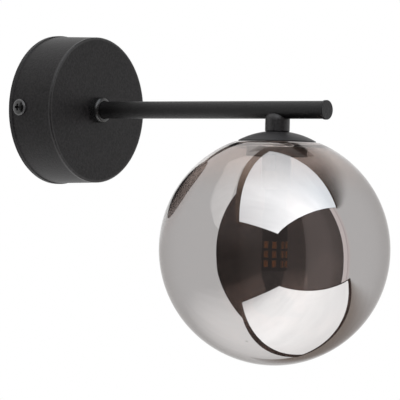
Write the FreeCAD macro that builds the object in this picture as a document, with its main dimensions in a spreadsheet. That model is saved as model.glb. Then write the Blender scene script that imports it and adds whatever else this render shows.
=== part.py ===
# Globe wall sconce: a round canopy on the wall, one straight arm, and a glass globe hung under it.
# The wall is the plane y = 0, the arm runs along -Y, +Z is up, and all sizes are millimetres.
# The origin is the middle of the wall bracket, on the wall.
import FreeCAD
import Part
import math
import os
import Sketcher

os.makedirs("parts", exist_ok=True)
doc = FreeCAD.newDocument("globe_wall_sconce")
sheet = doc.addObject("Spreadsheet::Sheet", "sizes")


# A size that carries both its number and the expression that gives it from the sheet
class Size:
    def __init__(self, value, text):
        self.value = float(value)
        self.text = text

    def __add__(self, other):
        other = as_size(other)
        return Size(self.value + other.value, f"({self.text} + {other.text})")

    def __radd__(self, other):
        return as_size(other) + self

    def __sub__(self, other):
        other = as_size(other)
        return Size(self.value - other.value, f"({self.text} - {other.text})")

    def __rsub__(self, other):
        return as_size(other) - self

    def __mul__(self, other):
        other = as_size(other)
        return Size(self.value * other.value, f"({self.text} * {other.text})")

    def __rmul__(self, other):
        return as_size(other) * self

    def __truediv__(self, other):
        other = as_size(other)
        return Size(self.value / other.value, f"({self.text} / {other.text})")

    def __neg__(self):
        return Size(-self.value, f"(0 - {self.text})")


def as_size(number):
    return number if isinstance(number, Size) else Size(number, repr(float(number)))


def root(size):
    return Size(math.sqrt(size.value), f"sqrt({size.text})")


# Height of a circle of this radius above its centre, at this distance from the axis
def rise(radius, distance):
    return root(radius * radius - distance * distance)


sheet_rows = []


def size(alias, value, note):
    sheet_rows.append(alias)
    row = len(sheet_rows)
    sheet.set(f"A{row}", note)
    sheet.set(f"B{row}", str(value))
    sheet.setAlias(f"B{row}", alias)
    return Size(value, f"sizes.{alias}")


# Driving dimensions: canopy
canopy_depth = size("canopy_depth", 35.6, "wall to the canopy's front face")
canopy_rear_radius = size("canopy_rear_radius", 50.2, "canopy body just before its lip")
canopy_taper = size("canopy_taper", 0.8, "how much narrower the body is at its front edge")
canopy_wall = size("canopy_wall", 1.2, "canopy sheet thickness")
canopy_edge_round = size("canopy_edge_round", 1.0, "round of the front edge")
lip_height = size("lip_height", 0.6, "how far the rear lip stands out of the body")
lip_width = size("lip_width", 3.2, "rear lip along the axis")
lip_ramp = size("lip_ramp", 0.5, "slope from the lip down to the body")

# Driving dimensions: wall bracket
sheet_steel = size("sheet_steel", 1.5, "bracket sheet thickness")
ear_gap = size("ear_gap", 2.2, "ears clear of the canopy wall")
bracket_width = size("bracket_width", 22.0, "strap width")
ear_depth = size("ear_depth", 15.0, "wall to an ear's tip")
bend_round = size("bend_round", 2.0, "outside radius of the bracket's bends")
slot_spacing = size("slot_spacing", 60.0, "wall slots, middle to middle")
slot_half_width = size("slot_half_width", 2.75, "half the width of a wall slot")
slot_length = size("slot_length", 12.0, "end to end length of a wall slot")

# Driving dimensions: canopy side screws
side_screw_reach = size("side_screw_reach", 9.0, "wall to the side screws' axis")
side_screw_radius = size("side_screw_radius", 2.0, "M4 shank")
side_flange_radius = size("side_flange_radius", 5.5, "washer head of the side screw")
side_flange_thick = size("side_flange_thick", 0.8, "washer head thickness")
side_screw_hole = size("side_screw_hole", 2.3, "hole in the canopy wall")
side_screw_past = size("side_screw_past", 3.0, "screw tip past the ear's inner face")
side_crown_round = size("side_crown_round", 9.0, "radius of the head's low crown")
side_flange_bevel = size("side_flange_bevel", 0.3, "bevel of the washer head")
recess_width = size("recess_width", 1.4, "cross recess arm width")
recess_span = size("recess_span", 4.6, "cross recess arm length")
recess_depth = size("recess_depth", 2.0, "cross recess depth")

# Driving dimensions: arm
arm_radius = size("arm_radius", 5.8, "arm tube outside")
arm_wall = size("arm_wall", 1.3, "arm tube wall")
arm_overhang = size("arm_overhang", 37.6, "arm tube past the stem's axis")
arm_bevel = size("arm_bevel", 0.4, "bevel of the arm tube's outer end")
cap_overhang = size("cap_overhang", 0.5, "end cap disc outside the tube")
cap_thick = size("cap_thick", 1.8, "end cap disc thickness")
cap_round = size("cap_round", 0.4, "end cap edge round")
cap_plug_length = size("cap_plug_length", 6.0, "end cap plug in the bore")
collar_wall = size("collar_wall", 2.4, "ring at the foot of the arm, wall")
collar_gap = size("collar_gap", 0.4, "ring loose round the arm")
collar_length = size("collar_length", 6.0, "ring along the arm")
collar_round = size("collar_round", 2.2, "ring's front edge round")

# Driving dimensions: threaded tubes and nuts
tap_wall = size("tap_wall", 0.8, "arm tube wall round its tapped end")
nipple_wall = size("nipple_wall", 1.3, "threaded tube wall")
nipple_grip = size("nipple_grip", 10.0, "thread inside the arm")
nipple_tail = size("nipple_tail", 13.6, "threaded tube behind the canopy's front wall")
tap_spare = size("tap_spare", 2.0, "tapped bore past the threaded tube's end")
nut_flats = size("nut_flats", 14.0, "nut across flats")
nut_thick = size("nut_thick", 3.5, "nut thickness")
washer_thick = size("washer_thick", 0.9, "toothed washer thickness")
washer_band = size("washer_band", 3.4, "toothed washer, threaded tube to tooth roots")
tooth_width = size("tooth_width", 1.4, "washer tooth across")
tooth_reach = size("tooth_reach", 1.0, "washer tooth past its root")
tooth_root = size("tooth_root", 0.6, "washer tooth sunk in the disc")
thread_gap = size("thread_gap", 0.05, "radial gap in a screwed fit")
hole_gap = size("hole_gap", 0.15, "radial gap in a drilled hole")

# Driving dimensions: stem and dome
stem_reach = size("stem_reach", 187.9, "wall to the stem's axis")
stem_wall = size("stem_wall", 3.0, "stem round its threaded tube")
stem_drop = size("stem_drop", 14.2, "arm axis to the stem's lower face")
stem_shoulder = size("stem_shoulder", 4.5, "round of the stem's shoulder beside the arm")
stem_top_drop = size("stem_top_drop", 1.8, "arm axis down to the shoulder's top")
stem_edge_round = size("stem_edge_round", 0.8, "round of the stem's lower edge")
dome_radius = size("dome_radius", 52.8, "outside radius of the dome's curve")
dome_rim = size("dome_rim", 25.1, "dome rim radius")
dome_wall = size("dome_wall", 1.0, "dome sheet thickness")
dome_edge = size("dome_edge", 0.7, "height of the dome's rim edge")

# Driving dimensions: globe and its screwed joint
globe_radius = size("globe_radius", 75.0, "globe outside radius")
globe_wall = size("globe_wall", 1.8, "glass thickness")
shoulder_margin = size("shoulder_margin", 2.7, "globe shoulder outside the dome's rim")
shoulder_gap = size("shoulder_gap", 0.2, "dome rim to the glass below it")
shoulder_flat = size("shoulder_flat", 1.1, "flat edge of the globe's shoulder")
shoulder_slope = size("shoulder_slope", 0.5, "slope into the pressed seat, across")
shoulder_fall = size("shoulder_fall", 0.7, "slope into the pressed seat, down")
seat_drop = size("seat_drop", 1.9, "dome rim down to the pressed seat")
ring_wall = size("ring_wall", 1.75, "wall of the ring in the glass")
holder_wall = size("holder_wall", 1.6, "holder wall")
holder_short = size("holder_short", 0.5, "holder's lower edge above the ring's")
holder_hub_wall = size("holder_hub_wall", 2.6, "holder hub round the threaded tube")
holder_dome_gap = size("holder_dome_gap", 0.9, "holder's upper edge clear of the dome")
screw_gap = size("screw_gap", 0.4, "radial running gap between holder and ring")
ring_flange_width = size("ring_flange_width", 3.0, "ring flange past the mouth")
flange_clear = size("flange_clear", 3.2, "ring flange clear of the seat's outer edge")
ring_flange_thick = size("ring_flange_thick", 1.2, "ring flange thickness")
ring_length = size("ring_length", 7.4, "ring sleeve below its flange")
glue_gap = size("glue_gap", 0.25, "bond line between ring and glass")
gasket_clear = size("gasket_clear", 0.2, "gasket clear of the ring's bore")
gasket_width = size("gasket_width", 2.4, "silicone gasket width")
gasket_dome_gap = size("gasket_dome_gap", 0.3, "gasket clear of the dome")
gasket_gap = size("gasket_gap", 0.3, "gasket clear of the ring below it")

# Driving dimensions: lampholder and lamp
socket_turn = size("socket_turn", 12.5, "lampholder turned about the stem axis, degrees")
bracket_plate = size("bracket_plate", 1.0, "lampholder strap thickness")
bracket_plate_half = size("bracket_plate_half", 7.5, "half the strap's width at its top")
leg_half = size("leg_half", 4.5, "half a strap leg's width")
leg_length = size("leg_length", 18.5, "strap leg below its plate")
holder_nut_thick = size("holder_nut_thick", 3.0, "nut under the strap")
nipple_below_nut = size("nipple_below_nut", 1.8, "threaded tube past the nut")
socket_gap = size("socket_gap", 1.5, "threaded tube to the lampholder")
socket_half_x = size("socket_half_x", 11.0, "lampholder half length")
socket_half_y = size("socket_half_y", 6.75, "lampholder half width")
socket_height = size("socket_height", 24.0, "lampholder height")
socket_round = size("socket_round", 4.0, "lampholder's upright edges")
wire_well_depth = size("wire_well_depth", 6.0, "well for the wires in the lampholder's top")
well_margin = size("well_margin", 0.7, "well clear of the wires")
socket_screw_grip = size("socket_screw_grip", 3.2, "side screw inside the lampholder")
socket_screw_spare = size("socket_screw_spare", 0.3, "drilling past the side screw's end")
socket_screw_head = size("socket_screw_head", 2.3, "side screw head radius")
socket_screw_head_height = size("socket_screw_head_height", 1.4, "side screw head height")
pin_pitch = size("pin_pitch", 9.0, "G9 pins, middle to middle")
pin_slot_x = size("pin_slot_x", 4.4, "pin slot along the pitch")
pin_slot_y = size("pin_slot_y", 3.4, "pin slot across the pitch")
pin_slot_depth = size("pin_slot_depth", 15.0, "pin slot depth")
pin_wire = size("pin_wire", 0.5, "radius of the pins' bent wire")
pin_loop = size("pin_loop", 0.9, "half width of a pin's loop")
pin_length = size("pin_length", 12.0, "pins above the lamp base")
contact_thick = size("contact_thick", 1.0, "contact leaf")
contact_gap = size("contact_gap", 0.2, "leaf to pin, and leaf to its slot")
contact_lift = size("contact_lift", 0.5, "leaf above the lampholder's lower face")
lamp_gap = size("lamp_gap", 0.3, "lamp base to the lampholder")
base_half_x = size("base_half_x", 7.6, "lamp base half length")
base_half_y = size("base_half_y", 5.2, "lamp base half width")
base_height = size("base_height", 14.5, "lamp base height")
base_round = size("base_round", 2.5, "lamp base's upright edges")
column_side = size("column_side", 12.8, "lamp column side")
column_length = size("column_length", 37.9, "lamp column length")
column_round = size("column_round", 0.8, "lamp column's upright edges")
chip_width = size("chip_width", 3.0, "light chip width")
chip_height = size("chip_height", 4.6, "light chip height")
chip_thick = size("chip_thick", 0.8, "light chip thickness")
chip_pitch_x = size("chip_pitch_x", 5.8, "chips side by side")
chip_pitch_z = size("chip_pitch_z", 6.1, "chips above each other")
chip_tail = size("chip_tail", 4.6, "column end to the lowest chips' middle")

# Driving dimensions: terminals and wires
block_pitch = size("block_pitch", 10.0, "terminal pitch")
block_half_z = size("block_half_z", 8.5, "terminal block half height")
block_base = size("block_base", 4.0, "terminal block base plate")
barrel_gap = size("barrel_gap", 1.6, "gap between terminal barrels")
block_height = size("block_height", 10.5, "terminal block without its screw towers")
tower_height = size("tower_height", 3.0, "screw tower height")
tower_radius = size("tower_radius", 3.0, "screw tower radius")
clamp_offset = size("clamp_offset", 4.2, "clamp screws either side of the middle")
clamp_radius = size("clamp_radius", 1.25, "clamp screw radius")
insert_radius = size("insert_radius", 2.3, "brass insert outside")
insert_bore = size("insert_bore", 1.55, "brass insert bore")
insert_half = size("insert_half", 6.5, "brass insert half length")
insert_floor = size("insert_floor", 0.7, "mould between the insert and the block's base")
clamp_sink = size("clamp_sink", 0.6, "clamp screw below its tower's mouth")
block_screw_radius = size("block_screw_radius", 1.3, "block fixing screw shank")
block_screw_head = size("block_screw_head", 2.0, "block fixing screw head")
block_screw_head_height = size("block_screw_head_height", 1.6, "block fixing screw head height")
screw_end_gap = size("screw_end_gap", 0.2, "screw ends clear of the wall plane")
earth_gap = size("earth_gap", 4.5, "terminal block's end to the earth screw's axis")
earth_radius = size("earth_radius", 2.0, "earth screw shank")
earth_head_radius = size("earth_head_radius", 3.7, "earth screw head")
earth_head_height = size("earth_head_height", 2.4, "earth screw head height")
earth_washer_thick = size("earth_washer_thick", 0.7, "earth toothed washer")
tag_thick = size("tag_thick", 0.8, "ring terminal sheet")
tag_radius = size("tag_radius", 3.9, "ring terminal outside")
tag_barrel = size("tag_barrel", 1.6, "ring terminal barrel outside")
tag_barrel_length = size("tag_barrel_length", 5.0, "ring terminal barrel length")
tag_socket_depth = size("tag_socket_depth", 3.5, "wire socket in the barrel")
tag_wire_grip = size("tag_wire_grip", 3.0, "wire inside the barrel")
tag_lift = size("tag_lift", 0.2, "ring terminal barrel clear of the ring's back")
tag_neck = size("tag_neck", 0.6, "ring terminal neck between screw head and barrel")
wire_radius = size("wire_radius", 1.0, "insulated wire")
wire_gap = size("wire_gap", 0.4, "each wire's edge from the bore's middle")
wire_bend = size("wire_bend", 3.4, "wire bend at the stem and behind the arm")
loop_bend = size("loop_bend", 4.0, "wire bend below the terminals")
loop_below = size("loop_below", 15.5, "terminal block down to the wires' loops")
wire_grip = size("wire_grip", 8.0, "wire inside its terminal")
fall_gap = size("fall_gap", 1.3, "falling wires clear of the screw towers")
well_floor_gap = size("well_floor_gap", 0.1, "wire ends above the well's floor")

# Places worked out from the sizes above; a cutting tool stands out by "spare" past what it cuts,
# and a pocket must take away at least "least_cut" cubic millimetres
zero = as_size(0)
spare = as_size(1.0)
least_cut = 0.01
canopy_front_radius = canopy_rear_radius - canopy_taper
bracket_half = canopy_rear_radius - canopy_wall - ear_gap
arm_bore = arm_radius - arm_wall
nipple_radius = arm_radius - tap_wall
arm_end = stem_reach + arm_overhang
cap_radius = arm_radius + cap_overhang
collar_bore = arm_radius + collar_gap
collar_radius = collar_bore + collar_wall
washer_radius = nipple_radius + washer_band
nipple_bore = nipple_radius - nipple_wall
stem_radius = nipple_radius + stem_wall
rim_z = -(stem_drop + rise(dome_radius, stem_radius) - rise(dome_radius, dome_rim) + dome_edge)
dome_centre_z = -(stem_drop + rise(dome_radius, stem_radius))
dome_inner_radius = dome_radius - dome_wall
dome_inner_flat_z = -(stem_drop + dome_wall)
shoulder_radius = dome_rim + shoulder_margin
shoulder_z = rim_z - shoulder_gap
globe_centre_z = shoulder_z - rise(globe_radius, shoulder_radius)
globe_inner_radius = globe_radius - globe_wall
seat_z = rim_z - seat_drop
seat_under_z = seat_z - globe_wall
seat_outer = shoulder_radius - shoulder_flat - shoulder_slope
ring_flange = seat_outer - flange_clear
mouth_radius = ring_flange - ring_flange_width
ring_outer = mouth_radius - glue_gap
ring_bore = ring_outer - ring_wall
holder_radius = ring_bore - screw_gap
holder_hub_radius = nipple_radius + holder_hub_wall
gasket_inner = ring_bore + gasket_clear
gasket_outer = gasket_inner + gasket_width
ring_top_z = seat_z + ring_flange_thick
ring_under_z = seat_z - ring_length
gasket_z = ring_top_z + gasket_gap
gasket_top_z = dome_centre_z + rise(dome_inner_radius, gasket_outer) - gasket_dome_gap
holder_disc_top = dome_centre_z + rise(dome_inner_radius, holder_radius) - holder_dome_gap
holder_disc_under = holder_disc_top - holder_wall
plate_under_z = holder_disc_under - bracket_plate
holder_nut_under = plate_under_z - holder_nut_thick
stem_nipple_end = holder_nut_under - nipple_below_nut
socket_top_z = stem_nipple_end - socket_gap
socket_under_z = socket_top_z - socket_height
base_top_z = socket_under_z - lamp_gap
base_under_z = base_top_z - base_height
column_end_z = base_under_z - column_length
canopy_inner_face = canopy_depth - canopy_wall
wire_offset = wire_radius + wire_gap
block_barrel = block_pitch - barrel_gap
earth_reach_x = block_pitch * 1.5 + earth_gap

pieces = {}


# Sketches and solids bound to the sheet

def bind(target, path, value):
    value = as_size(value)
    if "sizes." in value.text:
        target.setExpression(path, value.text)


def plane_of(body, role):
    for feature in body.Origin.OriginFeatures:
        if feature.Role == role:
            return feature
    raise RuntimeError(f"no {role} in {body.Label}")


def new_body(label):
    body = doc.addObject("PartDesign::Body", label)
    body.Label = label
    return body


def new_sketch(body, role, name):
    sketch = body.newObject("Sketcher::SketchObject", f"{body.Name}_{name}")
    sketch.AttachmentSupport = [(plane_of(body, role), "")]
    sketch.MapMode = "FlatFace"
    return sketch


def pin_value(sketch, kind, geometry, point, value):
    value = as_size(value)
    index = sketch.addConstraint(Sketcher.Constraint(kind, -1, 1, geometry, point, value.value))
    bind(sketch, f"Constraints[{index}]", value)


# An outline is a list of corners (x, y); a corner with four entries (x, y, centre x, centre y)
# is reached by an arc about that centre, and a fifth entry "cw" turns that arc clockwise.
def draw_outline(sketch, corners):
    corners = [tuple(part if part == "cw" else as_size(part) for part in corner) for corner in corners]
    count = len(corners)
    first_edge = sketch.GeometryCount
    for index, corner in enumerate(corners):
        after = corners[(index + 1) % count]
        start = FreeCAD.Vector(corner[0].value, corner[1].value, 0)
        end = FreeCAD.Vector(after[0].value, after[1].value, 0)
        if len(after) > 2:
            centre = FreeCAD.Vector(after[2].value, after[3].value, 0)
            spokes = [start - centre, end - centre]
            if len(after) > 4:
                spokes.reverse()
            circle = Part.Circle(centre, FreeCAD.Vector(0, 0, 1), spokes[0].Length)
            angles = [math.atan2(spoke.y, spoke.x) for spoke in spokes]
            sketch.addGeometry(Part.ArcOfCircle(circle, *angles), False)
        else:
            sketch.addGeometry(Part.LineSegment(start, end), False)

    def start_point(index):
        return 2 if len(corners[(index + 1) % count]) > 4 else 1

    for index in range(count):
        following = (index + 1) % count
        sketch.addConstraint(Sketcher.Constraint(
            "Coincident", first_edge + index, 3 - start_point(index),
            first_edge + following, start_point(following)))
    for index, corner in enumerate(corners):
        edge = first_edge + index
        point = start_point(index)
        if len(corner) > 2:
            arc = first_edge + (index - 1) % count
            pin_value(sketch, "DistanceX", arc, 3, corner[2])
            pin_value(sketch, "DistanceY", arc, 3, corner[3])
            across = abs(corner[0].value - corner[2].value)
            along = abs(corner[1].value - corner[3].value)
            if across > along:
                pin_value(sketch, "DistanceY", edge, point, corner[1])
            else:
                pin_value(sketch, "DistanceX", edge, point, corner[0])
        else:
            pin_value(sketch, "DistanceX", edge, point, corner[0])
            pin_value(sketch, "DistanceY", edge, point, corner[1])


# Replaces a square corner between two straight runs by an arc of the given radius
def rounded(before, corner, after, radius):
    def step(origin, target):
        dx = as_size(target[0]).value - as_size(origin[0]).value
        dy = as_size(target[1]).value - as_size(origin[1]).value
        if abs(dx) > abs(dy):
            return (radius if dx > 0 else -radius, zero)
        return (zero, radius if dy > 0 else -radius)

    back, ahead = step(corner, before), step(corner, after)
    first = (corner[0] + back[0], corner[1] + back[1])
    last = (corner[0] + ahead[0], corner[1] + ahead[1])
    centre = (first[0] + ahead[0], first[1] + ahead[1])
    turn = (back[0].value * ahead[1].value - back[1].value * ahead[0].value)
    arc = (last[0], last[1], centre[0], centre[1])
    return [first, arc + ("cw",) if turn > 0 else arc]


def draw_rounded_plan(sketch, half_x, half_y, radius):
    corners = [(-half_x, half_y), (-half_x, -half_y), (half_x, -half_y), (half_x, half_y)]
    outline = []
    for index, corner in enumerate(corners):
        outline += rounded(corners[index - 1], corner, corners[(index + 1) % 4], radius)
    draw_outline(sketch, outline)


def pad_up(body, sketch, height, midplane=False):
    pad = body.newObject("PartDesign::Pad", f"{body.Name}_pad")
    pad.Profile = sketch
    pad.Midplane = midplane
    pad.Length = height.value
    bind(pad, "Length", height)
    sketch.Visibility = False


def draw_circle(sketch, x, y, radius):
    x, y, radius = as_size(x), as_size(y), as_size(radius)
    centre = FreeCAD.Vector(x.value, y.value, 0)
    index = sketch.addGeometry(Part.Circle(centre, FreeCAD.Vector(0, 0, 1), radius.value), False)
    pin_value(sketch, "DistanceX", index, 3, x)
    pin_value(sketch, "DistanceY", index, 3, y)
    constraint = sketch.addConstraint(Sketcher.Constraint("Radius", index, radius.value))
    bind(sketch, f"Constraints[{constraint}]", radius)


def keep(label, feature):
    pieces[label] = feature
    return feature


# A piece turned about the arm's axis: corners are (radius, distance towards -Y from the wall)
def turned_on_arm(label, corners):
    body = new_body(label)
    sketch = new_sketch(body, "XY_Plane", "profile")
    draw_outline(sketch, [flip_reach(corner) for corner in corners])
    revolve(body, sketch)
    return keep(label, body)


def flip_reach(corner):
    if len(corner) == 2:
        return (corner[0], -as_size(corner[1]))
    turned = (corner[0], -as_size(corner[1]), corner[2], -as_size(corner[3]))
    return turned if len(corner) > 4 else turned + ("cw",)


# A piece turned about the stem's axis: corners are (radius, height)
def turned_on_stem(label, corners):
    body = new_body(label)
    sketch = new_sketch(body, "XZ_Plane", "profile")
    draw_outline(sketch, corners)
    revolve(body, sketch)
    hang_on_stem(body)
    return keep(label, body)


def revolve(body, sketch):
    feature = body.newObject("PartDesign::Revolution", f"{body.Name}_turning")
    feature.Profile = sketch
    feature.ReferenceAxis = (sketch, ["V_Axis"])
    feature.Angle = 360.0
    sketch.Visibility = False
    return feature


def hang_on_stem(feature, turned=False):
    angle = socket_turn.value if turned else 0.0
    feature.Placement = FreeCAD.Placement(
        FreeCAD.Vector(0, -stem_reach.value, 0), FreeCAD.Rotation(FreeCAD.Vector(0, 0, 1), angle))
    bind(feature, "Placement.Base.y", -stem_reach)
    if turned:
        bind(feature, "Placement.Rotation.Angle", socket_turn)


# A pocket through a whole body, both ways from the sketch, checked to remove material
def pocket_through(body, role, name, draw):
    doc.recompute()
    before = body.Shape.Volume
    sketch = new_sketch(body, role, name)
    draw(sketch)
    pocket = body.newObject("PartDesign::Pocket", f"{body.Name}_{name}_cut")
    pocket.Profile = sketch
    pocket.Type = "ThroughAll"
    pocket.Midplane = True
    sketch.Visibility = False
    doc.recompute()
    if not body.Shape.Volume < before - least_cut:
        raise RuntimeError(f"{body.Label}: {name} cuts nothing")
    return pocket


def draw_slot(sketch, middle, half_width, length):
    reach = length / 2 - half_width
    draw_outline(sketch, [
        (middle - reach, -half_width, middle - reach, zero),
        (middle + reach, -half_width),
        (middle + reach, half_width, middle + reach, zero),
        (middle - reach, half_width),
    ])


turns = {
    "up": FreeCAD.Rotation(),
    "right": FreeCAD.Rotation(FreeCAD.Vector(0, 1, 0), 90),
    "out": FreeCAD.Rotation(FreeCAD.Vector(1, 0, 0), 90),
}


# Puts a primitive at (x, y, z), turned so that its own +Z runs along +Z, +X or -Y
def put(feature, x, y, z, direction):
    x, y, z = as_size(x), as_size(y), as_size(z)
    feature.Placement = FreeCAD.Placement(FreeCAD.Vector(x.value, y.value, z.value), turns[direction])
    for path, value in (("Placement.Base.x", x), ("Placement.Base.y", y), ("Placement.Base.z", z)):
        bind(feature, path, value)


def set_sizes(feature, sizes_by_name):
    for name, value in sizes_by_name.items():
        setattr(feature, name, as_size(value).value)
        bind(feature, name, value)


def box(name, x, y, z, length, width, height):
    feature = doc.addObject("Part::Box", name)
    set_sizes(feature, {"Length": length, "Width": width, "Height": height})
    put(feature, x, y, z, "up")
    return feature


# A cylinder from (x, y, z) that runs along +Z ("up"), +X ("right") or -Y ("out")
def cylinder(name, x, y, z, direction, radius, height):
    feature = doc.addObject("Part::Cylinder", name)
    set_sizes(feature, {"Radius": radius, "Height": height})
    put(feature, x, y, z, direction)
    return feature


def hexagon(name, x, y, z, direction, flats, height):
    feature = doc.addObject("Part::Prism", name)
    feature.Polygon = 6
    set_sizes(feature, {"Circumradius": flats / math.sqrt(3), "Height": height})
    put(feature, x, y, z, direction)
    return feature


def fuse(label, members):
    feature = doc.addObject("Part::MultiFuse", label)
    feature.Label = label
    feature.Shapes = members
    return feature


def cut(label, base, tools):
    tool = tools[0] if len(tools) == 1 else fuse(f"{label}_tools", tools)
    feature = doc.addObject("Part::Cut", label)
    feature.Label = label
    feature.Base = base
    feature.Tool = tool
    return feature


# Several separate solids in one piece, such as a set of like screws
def group(label, members):
    feature = doc.addObject("Part::Compound", label)
    feature.Label = label
    feature.Links = members
    return feature


# Canopy: a drawn steel cup with a rolled lip at the wall, a drilled front and two side holes
def make_canopy():
    lip_radius = canopy_rear_radius + lip_height
    front_arc = [
        (canopy_front_radius, canopy_depth - canopy_edge_round),
        (canopy_front_radius - canopy_edge_round, canopy_depth,
         canopy_front_radius - canopy_edge_round, canopy_depth - canopy_edge_round),
    ]
    body = turned_on_arm("canopy_cup", [
        (lip_radius, zero),
        (lip_radius, lip_width - lip_ramp),
        (canopy_rear_radius, lip_width),
        *front_arc,
        (nipple_radius + hole_gap, canopy_depth),
        (nipple_radius + hole_gap, canopy_inner_face),
        (canopy_front_radius - canopy_wall, canopy_inner_face),
        (canopy_rear_radius - canopy_wall, zero),
    ])
    pocket_through(body, "YZ_Plane", "side_holes",
                   lambda sketch: draw_circle(sketch, -side_screw_reach, zero, side_screw_hole))


# Bracket: one strip of sheet steel bent into a U, slotted for the wall screws
def make_bracket():
    left, right = -bracket_half, bracket_half
    inner_round = bend_round - sheet_steel
    inner_left, inner_right = left + sheet_steel, right - sheet_steel
    body = new_body("wall_bracket")
    sketch = new_sketch(body, "XY_Plane", "strip")
    draw_outline(sketch, [
        (left, -ear_depth),
        (inner_left, -ear_depth),
        *rounded((inner_left, -ear_depth), (inner_left, -sheet_steel), (inner_right, -sheet_steel),
                 inner_round),
        *rounded((inner_left, -sheet_steel), (inner_right, -sheet_steel), (inner_right, -ear_depth),
                 inner_round),
        (inner_right, -ear_depth),
        (right, -ear_depth),
        *rounded((right, -ear_depth), (right, zero), (left, zero), bend_round),
        *rounded((right, zero), (left, zero), (left, -ear_depth), bend_round),
    ])
    pad_up(body, sketch, bracket_width, midplane=True)

    def wall_holes(sketch):
        draw_slot(sketch, -slot_spacing / 2, slot_half_width, slot_length)
        draw_slot(sketch, slot_spacing / 2, slot_half_width, slot_length)
        draw_circle(sketch, earth_reach_x, zero, earth_radius + thread_gap)
        draw_circle(sketch, block_pitch / 2, zero, block_screw_radius + thread_gap)

    pocket_through(body, "XZ_Plane", "wall_holes", wall_holes)
    pocket_through(body, "YZ_Plane", "ear_threads",
                   lambda sketch: draw_circle(sketch, -side_screw_reach, zero,
                                              side_screw_radius + thread_gap))
    keep("wall_bracket", body)


# Side screws: a domed cross head on its own washer flange, one from each side
def make_side_screws():
    seat = canopy_rear_radius + thread_gap
    tip = bracket_half - sheet_steel - side_screw_past
    members = []
    for side, sign in (("left", -1), ("right", 1)):
        flange_top = seat + side_flange_thick
        crown_edge = side_flange_radius - side_flange_bevel
        crown_centre = flange_top - rise(side_crown_round, crown_edge)
        head_top = crown_centre + side_crown_round
        body = new_body(f"side_screw_{side}")
        sketch = new_sketch(body, "XY_Plane", "profile")
        draw_outline(sketch, [
            (zero, tip),
            (side_screw_radius, tip),
            (side_screw_radius, seat),
            (side_flange_radius, seat),
            (side_flange_radius, flange_top - side_flange_bevel),
            (crown_edge, flange_top),
            (zero, head_top, zero, crown_centre),
        ])
        revolve(body, sketch)
        turn = FreeCAD.Rotation(FreeCAD.Vector(0, 0, 1), -90 * sign)
        body.Placement = FreeCAD.Placement(FreeCAD.Vector(0, -side_screw_reach.value, 0), turn)
        bind(body, "Placement.Base.y", -side_screw_reach)
        start = head_top - recess_depth if sign > 0 else -head_top - spare
        arms = []
        for name, across, high in (("a", recess_width, recess_span), ("b", recess_span, recess_width)):
            arms.append(box(f"recess_{side}_{name}", start, -side_screw_reach - across / 2, -high / 2,
                            recess_depth + spare, across, high))
        members.append(cut(f"side_screw_{side}_cut", body, arms))
    keep("canopy_side_screws", group("canopy_side_screws", members))


# Arm: straight tube with a wire hole over the stem, a plug cap, and a loose ring at its foot
def make_arm():
    tap_end = canopy_depth + nipple_grip + tap_spare
    body = turned_on_arm("arm_tube", [
        (nipple_radius + thread_gap, canopy_depth),
        (arm_radius, canopy_depth),
        (arm_radius, arm_end - arm_bevel),
        (arm_radius - arm_bevel, arm_end),
        (arm_bore, arm_end),
        (arm_bore, tap_end),
        (nipple_radius + thread_gap, tap_end),
    ])
    doc.recompute()
    before = body.Shape.Volume
    sketch = new_sketch(body, "XY_Plane", "wire_hole")
    draw_circle(sketch, zero, -stem_reach, nipple_bore)
    pocket = body.newObject("PartDesign::Pocket", "arm_wire_hole")
    pocket.Profile = sketch
    pocket.Type = "ThroughAll"
    sketch.Visibility = False
    doc.recompute()
    if not body.Shape.Volume < before - least_cut:
        raise RuntimeError("the wire hole cuts nothing")

    cap_face = arm_end + cap_thick
    turned_on_arm("arm_end_cap", [
        (zero, arm_end - cap_plug_length),
        (arm_bore - thread_gap, arm_end - cap_plug_length),
        (arm_bore - thread_gap, arm_end),
        (cap_radius, arm_end),
        (cap_radius, cap_face - cap_round),
        (cap_radius - cap_round, cap_face, cap_radius - cap_round, cap_face - cap_round),
        (zero, cap_face),
    ])
    collar_face = canopy_depth + collar_length
    turned_on_arm("arm_collar", [
        (collar_bore, canopy_depth),
        (collar_radius, canopy_depth),
        (collar_radius, collar_face - collar_round),
        (collar_radius - collar_round, collar_face,
         collar_radius - collar_round, collar_face - collar_round),
        (collar_bore, collar_face),
    ])


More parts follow.
